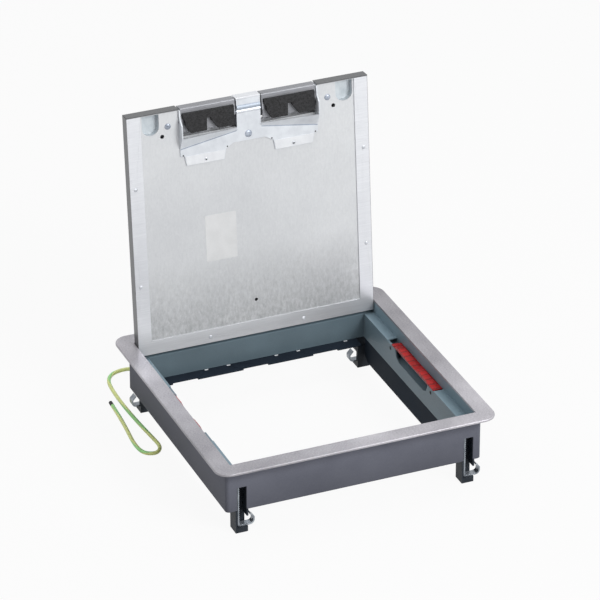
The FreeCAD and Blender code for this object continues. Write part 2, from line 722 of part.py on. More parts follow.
def rivet_spots():
    """Places of the rivets through the lid's borders."""
    side = lid_half - d["rivet_inset"]
    spots = []
    for distance in (d["rivet_near"], d["rivet_far"]):
        spots += [(-side, from_edge(distance)), (side, from_edge(distance))]
    return spots + [(x, lid_half - d["rivet_inset"]) for x in (-52, 52)]


def cup_outline(centre, half, length):
    """A finger recess in plan: straight sides from the free edge and a round end."""
    start = from_edge(d["lid_wall"] + 0.8)
    end = from_edge(length)
    return [(centre - half, start), (centre + half, start), (centre + half, end),
            (centre - half, end)]


def make_lid_base():
    """Lid base plate: galvanised sheet behind the borders, open at the outlet."""
    body = new_body("lid_base_plate")
    half = lid_inner - d["slide_gap"]
    extrude(body, "XY", base_under, base_top, [square(half)])
    out = outlet_half
    mouth = [(-out, -half), (out, -half), (out, from_edge(d["ramp_front"])),
             (-out, from_edge(d["ramp_front"]))]
    extrude(body, "XY", base_under, base_top, [mouth], cut=True)
    for side in (-1, 1):
        bowl = cup_outline(cup_centre * side, d["cup_half"], d["cup_depth"])
        extrude(body, "XY", base_under, base_top, [bowl], cut=True)
    end = from_edge(d["cup_depth"])
    round_edges(body, d["cup_half"] - 0.2, lambda e: runs_along(e, "Z")
                and near(middle(e).y, end))
    shank = d["rivet_shank"] + d["running_gap"]
    circles = [(x, y, shank) for x, y in rivet_spots() + tab_rivet_spots()]
    circles += [(x, y, shank) for x, y in lid_screw_spots()]
    circles += [(side * 93.5, from_edge(27.2), 2.2) for side in (-1, 1)]
    circles += [(0.6, lid_half - 37.6, 1.8)]
    extrude(body, "XY", base_under, base_top, circles=circles, cut=True)
    swing(body)


def lid_screw_spots():
    """Places of the lid's pan head screws."""
    room = cup_centre - d["cup_half"] - outlet_half
    side = outlet_half + room * 0.56
    near_edge = from_edge(d["lid_screw_depth"])
    return [(-side, near_edge), (side, near_edge), (-1, from_edge(d["pivot_screw_depth"]))]


def tab_rivet_spots():
    """Places of the rivets through the bracket's tabs."""
    return [(x, from_edge(d["tab_rivet_depth"])) for x in (-48, 48)]


def make_cups():
    """Finger recesses pressed up behind the base plate."""
    wall = d["cup_wall"]
    for name, side in (("finger_cup_left", -1), ("finger_cup_right", 1)):
        body = new_body(name)
        centre = cup_centre * side
        outside = cup_outline(centre, d["cup_half"] + wall, d["cup_depth"] + wall)
        rise = base_top + d["cup_height"]
        extrude(body, "XY", base_top, rise, [outside])
        inside = cup_outline(centre, d["cup_half"], d["cup_depth"])
        extrude(body, "XY", base_top, rise - wall, [inside], cut=True)
        end = from_edge(d["cup_depth"])
        round_edges(body, d["cup_half"] - 0.2, lambda e: runs_along(e, "Z")
                    and near(middle(e).y, end))
        round_edges(body, d["cup_half"] + wall - 0.2, lambda e: runs_along(e, "Z")
                    and near(middle(e).y, end + wall))
        swing(body)


def make_bracket():
    """Outlet bracket: base plate with tabs, ramps, cheeks and the flaps' knuckle."""
    body = new_body("outlet_bracket")
    sheet_thick = d["lid_sheet"]
    cheek = outlet_half - 0.2
    tongue = d["bridge_half"] - 0.5
    plan = [(-cheek, d["bend_outer"]), (-tongue, d["bend_inner"]),
            (-tongue, d["lid_wall"] + 0.2), (tongue, d["lid_wall"] + 0.2),
            (tongue, d["bend_inner"]), (cheek, d["bend_outer"]), (cheek, d["base_depth"]),
            (71, d["base_depth"]), (69, d["tab_depth"]), (28, d["tab_depth"]),
            (26, d["base_depth"]), (17, 47), (-18, 47), (-26, d["base_depth"]),
            (-28, d["tab_depth"]), (-69, d["tab_depth"]), (-71, d["base_depth"]),
            (-cheek, d["base_depth"])]
    plan = [(x, from_edge(distance)) for x, distance in plan]
    extrude(body, "XY", lid_under, base_under, [plan])
    inner = cheek - sheet_thick
    ramp_low = top - d["ramp_drop"]
    front = from_edge(d["ramp_front"])
    bend_inner = from_edge(d["bend_inner"])
    bend_outer = from_edge(d["bend_outer"])
    fall = (lid_under - ramp_low) * (bend_inner - front) / (bend_outer - front)
    wide = [(front, ramp_low), (bend_outer + 1, lid_under), (bend_outer + 1, base_under),
            (bend_outer - 1, base_under), (front, ramp_low + sheet_thick)]
    narrow = [(front, lid_under - fall), (bend_inner + 1, lid_under),
              (bend_inner + 1, base_under), (bend_inner - 1, base_under),
              (front, lid_under - fall + sheet_thick)]
    loft(body, -cheek, wide, -tongue, narrow)
    loft(body, tongue, narrow, cheek, wide)
    guard = [(from_edge(d["lid_wall"] + 0.2), lid_under - 1), (from_edge(11.2), lid_under - 2),
             (from_edge(17), ramp_low), (front, ramp_low), (bend_outer, lid_under),
             (bend_outer, base_under), (front - 0.2, base_under), (front - 1, skin_under - 0.3),
             (from_edge(d["lid_wall"] + 0.2), skin_under - 0.3)]
    extrude(body, "YZ", -cheek, -inner, [guard])
    extrude(body, "YZ", inner, cheek, [guard])
    knuckle = (flap_y, flap_z, d["knuckle_radius"])
    extrude(body, "YZ", -tongue, tongue, circles=[knuckle])
    pin = (flap_y, flap_z, d["flap_pin"] + d["running_gap"])
    extrude(body, "YZ", -cheek, cheek, circles=[pin], cut=True)
    shank = d["rivet_shank"] + d["running_gap"]
    spots = tab_rivet_spots() + lid_screw_spots()[2:]
    circles = [(x, y, shank) for x, y in spots]
    extrude(body, "XY", lid_under, base_under, circles=circles, cut=True)
    swing(body)


def make_flaps():
    """Outlet flaps: aluminium profiles with a nose, an ear at each end and an inner plate."""
    for name, start in (("flap_left", -flap_end), ("flap_right", flap_start)):
        body = new_body(name)
        end = start + d["flap_length"]
        front = from_edge(d["flap_front"])
        nose = front + d["flap_nose"]
        rear = front + d["flap_depth"]
        under = top - d["flap_skin"]
        nose_under = lid_under + 0.3
        profile = [(front, nose_under), (nose, nose_under), (nose, under), (rear, under),
                   (rear, top), (front, top)]
        extrude(body, "YZ", start, end, [profile])
        low = flap_z - 3
        ear = [(nose, nose_under), (flap_y - 1.6, low), (flap_y + 1.6, low),
               (flap_y + 3, flap_z), (flap_y + 3, under), (nose, under)]
        extrude(body, "YZ", start, start + d["flap_ear"], [ear])
        extrude(body, "YZ", end - d["flap_ear"], end, [ear])
        seat = top - d["foam_seat_drop"]
        plate = block(nose, from_edge(d["seat_depth"]), seat, seat + d["lid_sheet"])
        extrude(body, "YZ", start + d["flap_ear"], end - d["flap_ear"], [plate])
        hole = (flap_y, flap_z, d["flap_pin"] + d["running_gap"])
        extrude(body, "YZ", start, start + d["flap_ear"], circles=[hole], cut=True)
        extrude(body, "YZ", end - d["flap_ear"], end, circles=[hole], cut=True)
        round_edges(body, 1.2, lambda e: runs_along(e, "X") and near(middle(e).y, front))
        swing(body)


def make_foams():
    """Foam blocks under the flaps: two stepped teeth each, with one slanted side."""
    for name, side in (("flap_foam_left", -flap_end), ("flap_foam_right", flap_start)):
        body = new_body(name)
        start = side + d["flap_ear"] + 0.3
        end = side + d["flap_length"] - d["flap_ear"] - 0.3
        front = from_edge(d["flap_front"] + d["flap_nose"])
        rear = front + d["foam_depth"]
        plan = [(start, front), (end, front), (end, rear - 0.6), (end - 1, rear),
                (end - 17.6, rear), (end - 24.6, front + 11.8), (end - 25.4, front + 8.6),
                (end - 29.6, front + 8.6), (end - 30, rear), (start + 8, rear),
                (start + 2.8, front + 13.4), (start + 2.4, front + 8), (start, front + 5)]
        extrude(body, "XY", top - d["foam_drop"], top - d["foam_seat_drop"], [plan])
        swing(body)


def make_flap_pins():
    """Pins of the flaps: one through the knuckle and one at each cheek."""
    group = []
    cheek = outlet_half - 0.2
    ear = d["flap_ear"]
    reach = flap_start + ear
    spans = [(-reach, reach), (-cheek, ear - flap_end), (flap_end - ear, cheek)]
    for number, (low, high) in enumerate(spans, start=1):
        body = new_body(f"flap_pin_{number}", group)
        extrude(body, "YZ", low, high, circles=[(flap_y, flap_z, d["flap_pin"])])
    gather("flap_pins", group)


def gather(label, bodies):
    """Joins separate solids of one kind in one node, on the open lid."""
    group = doc.addObject("Part::Compound", label)
    group.Label = label
    group.Links = bodies
    swing(group)
    parts[label] = group


def make_lid_hinge():
    """Hinge blocks in the lid's rear corners, with the pins that they hold."""
    group = []
    reach = d["frame_wall"] + d["lid_gap"] + d["lid_wall"] + 10
    for name, side in (("lid_hinge_block_left", -1), ("lid_hinge_block_right", 1)):
        body = new_body(name)
        wide = lid_inner - d["slide_gap"]
        rim = [(lid_inner - 14, base_top), (wide, base_top), (wide, skin_under - 2),
               (wide - 1.5, skin_under), (lid_inner - 14, skin_under)]
        low, high = (wide - 9, wide) if side > 0 else (-wide, 9 - wide)
        extrude(body, "YZ", low, high, [rim])
        pin = (hinge_y, hinge_z, d["hinge_pin"] + d["running_gap"])
        extrude(body, "YZ", low, high, circles=[pin], cut=True)
        swing(body)
        rod = new_body(f"hinge_pin_{side + 2}", group)
        end = frame_outer
        low, high = (end - reach, end) if side > 0 else (-end, reach - end)
        extrude(rod, "YZ", low, high, circles=[(hinge_y, hinge_z, d["hinge_pin"])])
    gather("lid_hinge_pins", group)


def headed(name, group, head, rise, shank, length, domed=False):
    """A rivet or screw about its own Z axis, its head above the XY plane."""
    body = new_body(name, group)
    head, rise, shank, length = (as_size(s) for s in (head, rise, shank, length))
    if domed:
        crown = [(head, 0), (head * 0.9, rise * 0.55), (head * 0.55, rise), (0, rise)]
    else:
        crown = [(head, 0), (head, rise * 0.7), (head - rise * 0.3, rise), (0, rise)]
    revolve(body, [(0, -length), (shank, -length), (shank, 0)] + crown)
    return body


def hang(body, x, y, z):
    """Turns a fastener head down and puts it at a spot under the lid."""
    body.Placement = FreeCAD.Placement(
        FreeCAD.Vector(), FreeCAD.Rotation(FreeCAD.Vector(1, 0, 0), 180))
    for axis, size in (("x", x), ("y", y), ("z", z)):
        bind(body, f"Placement.Base.{axis}", size)


def make_lid_fasteners():
    """Rivets of the borders and tabs, and the lid's pan head screws."""
    group = []
    for number, (x, y) in enumerate(rivet_spots() + tab_rivet_spots(), start=1):
        rivet = headed(f"lid_rivet_{number}", group, d["rivet_head"], d["head_rise"],
                       d["rivet_shank"], d["lid_sheet"] * 2, domed=True)
        hang(rivet, x, y, lid_under)
    gather("lid_rivets", group)
    group = []
    for number, (x, y) in enumerate(lid_screw_spots(), start=1):
        centre = number == 3
        screw = headed(f"lid_screw_{number}", group, 3.6 if centre else 2.8, 1.8,
                       d["rivet_shank"], d["lid_sheet"] * 2 + 2, domed=True)
        hang(screw, x, y, lid_under if centre else base_under)
    gather("lid_screws", group)


def make_track_screws():
    """Screws that hold the lock tracks to the frame wall."""
    group = []
    number = 0
    length = d["frame_wall"] + d["track_wall"]
    for side in (1, -1):
        for along in (d["track_screw_far"] * side, -d["track_screw_near"] * side):
            number += 1
            screw = headed(f"track_screw_{number}", group, d["rivet_head"], 0.7,
                           d["rivet_shank"], length)
            screw.Placement = FreeCAD.Placement(FreeCAD.Vector(), FreeCAD.Rotation(
                FreeCAD.Vector(0, 1, 0), -90 * side))
            bind(screw, "Placement.Base.x", well * side)
            bind(screw, "Placement.Base.y", along)
            bind(screw, "Placement.Base.z", track_screw_z)
    compound = doc.addObject("Part::Compound", "track_screws")
    compound.Label = "track_screws"
    compound.Links = group
    parts["track_screws"] = compound


def make_earth_terminal():
    """Earth terminal at the rear of the skirt: ring lug, screw and nut."""
    body = new_body("earth_lug")
    x, z = -d["lug_x"], lug_z
    face = skirt_y + d["lug_sheet"]
    ring = [(x, z, d["lug_radius"]), (x, z, d["earth_screw_radius"] + d["running_gap"])]
    extrude(body, "XZ", skirt_y, face, circles=ring)
    neck_top = z - d["lug_radius"] + 0.8
    barrel_top = z - d["lug_radius"] - 1.5
    neck = block(x - d["barrel_radius"] + 0.4, x + d["barrel_radius"] - 0.4, barrel_top - 2,
                 neck_top)
    extrude(body, "XZ", skirt_y, face, [neck])
    middle_y = face + d["barrel_radius"] - 0.6
    extrude(body, "XY", barrel_top - d["barrel_length"], barrel_top,
            circles=[(x, middle_y, d["barrel_radius"])])
    screw = new_body("earth_screw")
    revolve(screw, [(0, -7), (d["earth_screw_radius"], -7), (d["earth_screw_radius"], 0),
                    (3.6, 0), (3.6, 1.8), (2.8, 2.4), (0, 2.4)])
    screw.Placement = FreeCAD.Placement(
        FreeCAD.Vector(), FreeCAD.Rotation(FreeCAD.Vector(1, 0, 0), -90))
    for axis, size in (("x", x), ("y", face), ("z", z)):
        bind(screw, f"Placement.Base.{axis}", size)
    nut = new_body("earth_nut")
    across = as_size(4)
    corners = [(x + across * math.cos(math.radians(60 * n)),
                z + across * math.sin(math.radians(60 * n))) for n in range(6)]
    hole = (x, z, d["earth_screw_radius"] + d["running_gap"])
    inside = skirt_y - d["skirt_wall"]
    extrude(nut, "XZ", inside - 3, inside, [corners], [hole])
    return x, middle_y, barrel_top - d["barrel_length"]


def tube(points, radius):
    """A round tube along straight runs joined by tangent arcs, and its arcs' radii."""
    spots = [FreeCAD.Vector(*point) for point in points]
    edges = []
    radii = []
    start = spots[0]
    for before, here, after in zip(spots, spots[1:], spots[2:]):
        back = (before - here).normalize()
        ahead = (after - here).normalize()
        half_turn = (math.pi - back.getAngle(ahead)) / 2
        shorter = min((before - here).Length, (after - here).Length)
        cut = 0.45 * shorter
        radii.append(cut / math.tan(half_turn))
        first = here + back * cut
        last = here + ahead * cut
        bulge = (back + ahead).normalize()
        height = radii[-1] / math.cos(half_turn) - radii[-1]
        edges.append(Part.LineSegment(start, first).toShape())
        edges.append(Part.Arc(first, here + bulge * height, last).toShape())
        start = last
    edges.append(Part.LineSegment(start, spots[-1]).toShape())
    path = Part.Wire(edges)
    ring = Part.Wire(Part.makeCircle(radius, spots[0], spots[1] - spots[0]))
    return path.makePipeShell([ring], True, True), path.Length, radii


def make_wire(start):
    """Earth wire: down from the lug, round behind the box and along its left side."""
    radius = d["wire_radius"].value
    x, y, z = (as_size(s).value for s in start)
    route = [(x, y, z), (x, y, z - 13), (x + 1, y + 10, 13), (x + 2, y + 25, 2.6),
             (-91, 187, 2), (-97, 203, 2), (-112, 210, 2), (-129, 207, 2), (-139, 195, 2),
             (-142, 174, 2), (-142.5, 140, 2), (-141, 102, 2), (-138, 66, 2), (-136.5, 46, 2),
             (-145, 35, 2), (-158, 41, 2), (-160, 62, 2), (-156.5, 92, 2), (-154, 122, 2),
             (-153, 143, 2)]
    shape, length, radii = tube(route, radius)
    straight = shape.Volume / (math.pi * radius ** 2)
    print(f"earth wire: {length:.1f} mm, volume gives {straight:.1f} mm, radii",
          " ".join(f"{value:.0f}" for value in radii))
    wire = doc.addObject("Part::Feature", "earth_wire")
    wire.Label = "earth_wire"
    wire.Shape = shape
    parts["earth_wire"] = wire
    last, before = FreeCAD.Vector(*route[-1]), FreeCAD.Vector(*route[-2])
    sleeve = doc.addObject("Part::Feature", "wire_end_sleeve")
    sleeve.Label = "wire_end_sleeve"
    heading = (last - before).normalize()
    sleeve.Shape = Part.makeCylinder(radius, 7, FreeCAD.Vector(), heading)
    sleeve.Placement = FreeCAD.Placement(last, FreeCAD.Rotation())
    parts["wire_end_sleeve"] = sleeve


def check_and_write():
    """Checks every object and writes one STEP file for each sub-part."""
    doc.recompute()
    for item in doc.Objects:
        if "Invalid" in item.State or "Error" in item.State:
            raise RuntimeError(f"{item.Label} failed: {item.State}")
    os.makedirs("parts", exist_ok=True)
    facets = 0
    for label, item in sorted(parts.items()):
        shape = item.Shape
        if shape.isNull() or not shape.isValid() or shape.Volume <= 0:
            raise RuntimeError(f"{label} has no valid shape")
        shape.exportStep(f"parts/{label}.step")
        faces = len(shape.tessellate(0.1)[1])
        facets += faces
        print(f"{label}: {len(shape.Solids)} solid, {shape.Volume / 1000:.2f} cm3, {faces} facets")
    print(f"{len(parts)} sub-parts, {facets} facets")


make_flange()
make_skirt()
make_frame()
make_bushes()
make_tracks()
make_grips()
make_side_plates()
make_rails()
make_posts()
make_claws()
make_lid_shell()
make_lid_base()
make_cups()
make_bracket()
make_flaps()
make_foams()
make_flap_pins()
make_lid_hinge()
make_lid_fasteners()
make_track_screws()
make_wire(make_earth_terminal())
check_and_write()
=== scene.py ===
"""Dresses the floor socket box: soft sheet-metal edges, fasteners, foam, label place and wire."""

import json
import logging
import math
from dataclasses import dataclass
from enum import Enum
from typing import Any, Sequence

import bmesh
import bpy
from mathutils import Matrix, Vector


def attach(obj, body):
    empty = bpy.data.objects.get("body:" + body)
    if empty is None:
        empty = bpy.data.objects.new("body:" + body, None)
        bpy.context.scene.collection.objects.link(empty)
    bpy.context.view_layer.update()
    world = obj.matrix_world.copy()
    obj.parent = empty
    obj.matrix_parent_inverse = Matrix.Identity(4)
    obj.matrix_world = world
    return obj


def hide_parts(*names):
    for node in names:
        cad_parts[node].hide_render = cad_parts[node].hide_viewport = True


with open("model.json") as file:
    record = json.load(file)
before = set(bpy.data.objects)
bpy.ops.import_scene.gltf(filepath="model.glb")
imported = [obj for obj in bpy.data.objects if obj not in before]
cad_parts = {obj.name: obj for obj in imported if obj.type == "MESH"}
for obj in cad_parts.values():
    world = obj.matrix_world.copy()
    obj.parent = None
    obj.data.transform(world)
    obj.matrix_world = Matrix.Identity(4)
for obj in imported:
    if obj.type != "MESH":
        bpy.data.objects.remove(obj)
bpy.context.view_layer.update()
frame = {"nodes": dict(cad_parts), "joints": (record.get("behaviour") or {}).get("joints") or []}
MM = 0.001
CREASE = math.radians(32)  # a fold at least this sharp gets a rounding
FLAT = math.radians(0.2)  # triangles within this of each other are one flat face
UPRIGHT = 0.5  # a face's normal rises less than this where its wall stands upright
WELD = 2e-6  # metres within which two corners are one
LOG = logging.getLogger("floor_box")


def linear(hex_colour: str) -> tuple[float, float, float, float]:
    """Turns an sRGB hex colour into the linear colour that a shader takes.

    Args:
        hex_colour: Six hex digits, with or without a leading hash.

    Returns:
        Linear red, green and blue, and full alpha.
    """
    digits = hex_colour.lstrip("#")
    channels = [int(digits[n:n + 2], 16) / 255 for n in (0, 2, 4)]
    light = [c / 12.92 if c <= 0.04045 else ((c + 0.055) / 1.055) ** 2.4 for c in channels]
    return light[0], light[1], light[2], 1.0


def add(tree: bpy.types.NodeTree, kind: str, settings: dict[str, Any] | None = None,
        **inputs: Any) -> bpy.types.Node:
    """Adds a node with its settings, and links or sets its inputs.

    Args:
        tree: The node tree that gets the node.
        kind: The node's type name.
        settings: Attributes of the node itself.
        **inputs: Sockets by name, spaces written as underscores. An output socket is linked,
            and any other value is set.

    Returns:
        The new node.
    """
    made = tree.nodes.new(kind)
    for name, value in (settings or {}).items():
        setattr(made, name, value)
    for name, value in inputs.items():
        socket = made.inputs[name.replace("_", " ")]
        if isinstance(value, bpy.types.NodeSocket):
            tree.links.new(value, socket)
        else:
            socket.default_value = value
    return made


def direct_ray(tree: bpy.types.NodeTree) -> bpy.types.NodeSocket:
    """Gives 1 where the backdrop is seen, straight or in a shiny face, and 0 for its light.

    Args:
        tree: The node tree of the backdrop's material or world.

    Returns:
        The pattern.
    """
    path = add(tree, "ShaderNodeLightPath").outputs
    seen = add(tree, "ShaderNodeMath", {"operation": "MAXIMUM"})
    tree.links.new(path["Is Camera Ray"], seen.inputs[0])
    tree.links.new(path["Is Glossy Ray"], seen.inputs[1])
    return seen.outputs[0]


class Surface:
    """A material under construction, with object coordinates counted in millimetres."""

    def __init__(self, name: str) -> None:
        """Starts an empty material of that name.

        Args:
            name: The material's name.
        """
        self.material = bpy.data.materials.new(name)
        self.material.use_nodes = True
        self.tree = self.material.node_tree
        self.tree.nodes.clear()
        self.places = add(self.tree, "ShaderNodeTexCoord")

    def millimetres(self, stretch: Sequence[float] = (1, 1, 1)) -> bpy.types.NodeSocket:
        """Gives object coordinates in millimetres, drawn out along axes by a stretch."""
        scale = [1000 / s for s in stretch]
        return add(self.tree, "ShaderNodeMapping", Vector=self.places.outputs["Object"],
                   Scale=scale).outputs["Vector"]

    def noise(self, size: float, stretch: Sequence[float] = (1, 1, 1), detail: float = 3,
              roughness: float = 0.5) -> bpy.types.NodeSocket:
        """Gives a noise whose blotches are about the size in millimetres."""
        return add(self.tree, "ShaderNodeTexNoise", Vector=self.millimetres(stretch),
                   Scale=1 / size, Detail=detail, Roughness=roughness).outputs["Fac"]

    def cells(self, size: float, stretch: Sequence[float] = (1, 1, 1)) -> bpy.types.NodeSocket:
        """Gives one flat random value to each cell of about the size in millimetres."""
        cell = add(self.tree, "ShaderNodeTexVoronoi", Vector=self.millimetres(stretch),
                   Scale=1 / size)
        return add(self.tree, "ShaderNodeSeparateColor",
                   Color=cell.outputs["Color"]).outputs["Red"]

    def spread(self, source: bpy.types.NodeSocket, low: float, high: float,
               start: float = 0.3, end: float = 0.7) -> bpy.types.NodeSocket:
        """Maps a pattern from one range to another."""
        ranged = add(self.tree, "ShaderNodeMapRange", Value=source, From_Min=start, From_Max=end,
                     To_Min=low, To_Max=high)
        return ranged.outputs["Result"]

    def tint(self, source: bpy.types.NodeSocket, dark: str, pale: str, low: float = 0.3,
             high: float = 0.7, sharp: bool = False) -> bpy.types.NodeSocket:
        """Colours a pattern from a dark to a pale hex colour.

        Args:
            source: The pattern.
            dark: Colour of its low end.
            pale: Colour of its high end.
            low: Pattern value where the dark colour ends.
            high: Pattern value where the pale colour begins.
            sharp: Leaves no blend between the two.

        Returns:
            The colour.
        """
        ramp = add(self.tree, "ShaderNodeValToRGB", Fac=source)
        ramp.color_ramp.interpolation = "CONSTANT" if sharp else "LINEAR"
        first, second = ramp.color_ramp.elements
        first.position, first.color = low, linear(dark)
        second.position, second.color = high, linear(pale)
        return ramp.outputs["Color"]

    def axis(self, name: str) -> bpy.types.NodeSocket:
        """Gives one object coordinate in millimetres."""
        return add(self.tree, "ShaderNodeSeparateXYZ",
                   Vector=self.millimetres()).outputs[name]

    def times(self, first: bpy.types.NodeSocket, second: bpy.types.NodeSocket
              ) -> bpy.types.NodeSocket:
        """Multiplies two patterns.

        Args:
            first: One pattern.
            second: The other pattern.

        Returns:
            Their product.
        """
        made = add(self.tree, "ShaderNodeMath", {"operation": "MULTIPLY"})
        self.tree.links.new(first, made.inputs[0])
        self.tree.links.new(second, made.inputs[1])
        return made.outputs[0]

    def dim(self, colour: bpy.types.NodeSocket, level: bpy.types.NodeSocket
            ) -> bpy.types.NodeSocket:
        """Multiplies a colour by a grey level.

        Args:
            colour: The colour.
            level: The grey level.

        Returns:
            The dimmed colour.
        """
        mixed = add(self.tree, "ShaderNodeMix", {"data_type": "RGBA", "blend_type": "MULTIPLY"})
        mixed.inputs["Factor"].default_value = 1.0
        self.tree.links.new(colour, mixed.inputs[6])
        self.tree.links.new(level, mixed.inputs[7])
        return mixed.outputs[2]

    def sum(self, *weighted: tuple[bpy.types.NodeSocket, float]) -> bpy.types.NodeSocket:
        """Adds patterns, each times its weight.

        Args:
            *weighted: Pairs of a pattern and its weight.

        Returns:
            The weighted sum.
        """
        total = None
        for source, weight in weighted:
            part = add(self.tree, "ShaderNodeMath", {"operation": "MULTIPLY"})
            self.tree.links.new(source, part.inputs[0])
            part.inputs[1].default_value = weight
            if total is None:
                total = part.outputs[0]
                continue
            joined = add(self.tree, "ShaderNodeMath", {"operation": "ADD"})
            self.tree.links.new(total, joined.inputs[0])
            self.tree.links.new(part.outputs[0], joined.inputs[1])
            total = joined.outputs[0]
        return total

    def finish(self, relief: bpy.types.NodeSocket | None = None, depth: float = 0.0,
               **inputs: Any) -> bpy.types.Material:
        """Closes the material with a Principled shader.

        Args:
            relief: A height pattern for the bump, if there is one.
            depth: The depth of that relief in millimetres.
            **inputs: Inputs of the Principled shader.

        Returns:
            The finished material.
        """
        if relief is not None:
            bump = add(self.tree, "ShaderNodeBump", Height=relief, Distance=depth * MM,
                       Strength=1.0)
            inputs["Normal"] = bump.outputs["Normal"]
        shader = add(self.tree, "ShaderNodeBsdfPrincipled", **inputs)
        add(self.tree, "ShaderNodeOutputMaterial", Surface=shader.outputs["BSDF"])
        return self.material


@dataclass(frozen=True)
class SatinAluminium:
    """Ground and satin aluminium: a fine sparkle over a soft broad painted sheen.

    The painted sheen stands in for a reflection: it brightens two opposite corners and darkens
    the other two. Its reach is their x times y, in square millimetres.
    """

    name: str
    dark: str
    pale: str
    metallic: float = 0.5
    roughness: float = 0.45
    grain: float = 0.5
    stretch: tuple[float, float, float] = (1, 1, 1)
    painted_sheen: float = 0.0
    sheen_reach: float = 12000

    def make(self) -> bpy.types.Material:
        """Builds the material.

        Returns:
            The finished material.
        """
        surface = Surface(self.name)
        fine = surface.noise(self.grain, self.stretch, detail=3, roughness=0.55)
        broad = surface.noise(55, detail=2)
        mixed = surface.sum((fine, 0.55), (broad, 0.45))
        colour = surface.tint(mixed, self.dark, self.pale, 0.36, 0.64)
        # Painted reflection: brightens two opposite corners and darkens the other two.
        if self.painted_sheen:
            corners = surface.times(surface.axis("X"), surface.axis("Y"))
            colour = surface.dim(colour, surface.spread(
                corners, 1 + self.painted_sheen, 1 - self.painted_sheen, -self.sheen_reach, self.sheen_reach))
        rough = surface.spread(mixed, self.roughness - 0.08, self.roughness + 0.1)
        return surface.finish(fine, 0.012, Base_Color=colour, Metallic=self.metallic,
                              Roughness=rough)


@dataclass(frozen=True)
class CoatedSheet:
    """Powder-coated steel sheet: even colour, faint orange peel and a soft satin shine.

    Each painted shade is an axis, two levels of brightness and the two places on the axis, in
    millimetres, between which the level goes from the first to the second.
    """

    name: str
    dark: str
    pale: str
    roughness: float = 0.42
    metallic: float = 0.0
    gloss: float = 0.18
    peel: float = 1.1
    painted_shades: tuple[tuple[str, float, float, float, float], ...] = ()

    def make(self) -> bpy.types.Material:
        """Builds the material.

        Returns:
            The finished material.
        """
        surface = Surface(self.name)
        peel = surface.noise(self.peel, detail=2)
        cloud = surface.noise(38, detail=3)
        dust = surface.noise(0.5, detail=2, roughness=0.7)
        mixed = surface.sum((cloud, 0.45), (dust, 0.55))
        colour = surface.tint(mixed, self.dark, self.pale, 0.36, 0.62)
        # Each painted shade darkens or lightens the colour along one axis.
        for axis, low, high, start, end in self.painted_shades:
            colour = surface.dim(colour, surface.spread(surface.axis(axis), low, high, start,
                                                        end))
        rough = surface.spread(cloud, self.roughness - 0.05, self.roughness + 0.07)
        return surface.finish(peel, 0.012, Base_Color=colour, Metallic=self.metallic,
                              Roughness=rough, Specular_IOR_Level=self.gloss)


@dataclass(frozen=True)
class ZincPlate:
    """Bright zinc plate: a cool metal with hazy passivation clouds and faint drawing lines."""

    name: str
    dark: str = "CCD0D6"
    pale: str = "DADEE3"
    roughness: float = 0.36
    metallic: float = 0.4

    def make(self) -> bpy.types.Material:
        """Builds the material.

        Returns:
            The finished material.
        """
        surface = Surface(self.name)
        haze = surface.noise(9, detail=4)
        lines = surface.noise(0.5, (1, 12, 12), detail=2)
        mixed = surface.sum((haze, 0.75), (lines, 0.25))
        colour = surface.tint(mixed, self.dark, self.pale, 0.32, 0.66)
        rough = surface.spread(haze, self.roughness - 0.08, self.roughness + 0.14)
        return surface.finish(lines, 0.008, Base_Color=colour, Metallic=self.metallic,
                              Roughness=rough)


@dataclass(frozen=True)
class GalvanisedSheet:
    """Hot-dip galvanised sheet: small pale spangles and smears, matt with brighter flecks.

    It is stained low down and darkened there by painted shade, which stands in for the dark
    frame's reflection. That fades out between two heights, in millimetres.
    """

    name: str
    dark: str = "C3C5C8"
    pale: str = "D3D5D7"
    spangle: float = 1.6
    low_shade: float = 0.72
    low_shade_from: float = 85.0
    low_shade_to: float = 165.0

    def make(self) -> bpy.types.Material:
        """Builds the material.

        Returns:
            The finished material.
        """
        surface = Surface(self.name)
        crystals = surface.cells(self.spangle, (1, 1, 1.6))
        smear = surface.noise(1.6, (1, 1, 6), detail=5, roughness=0.7)
        cloud = surface.noise(60, detail=2)
        mixed = surface.sum((crystals, 0.1), (smear, 0.4), (cloud, 0.5))
        colour = surface.tint(mixed, self.dark, self.pale, 0.3, 0.7)
        stains = surface.noise(3, (1, 1, 2.2), detail=5, roughness=0.75)
        height = surface.axis("Z")
        uneven = surface.times(
            surface.spread(height, 0.4, 0.0, self.low_shade_from, self.low_shade_to + 5),
            surface.spread(stains, -0.5, 0.5))
        # Painted shade: darker towards the hinge, for the reflection of the dark frame.
        even = surface.spread(height, self.low_shade, 1.0, self.low_shade_from, self.low_shade_to)
        level = surface.sum((even, 1.0), (uneven, 1.0))
        colour = surface.dim(colour, level)
        rough = surface.spread(mixed, 0.5, 0.4)
        return surface.finish(smear, 0.004, Base_Color=colour, Metallic=0.35, Roughness=rough)


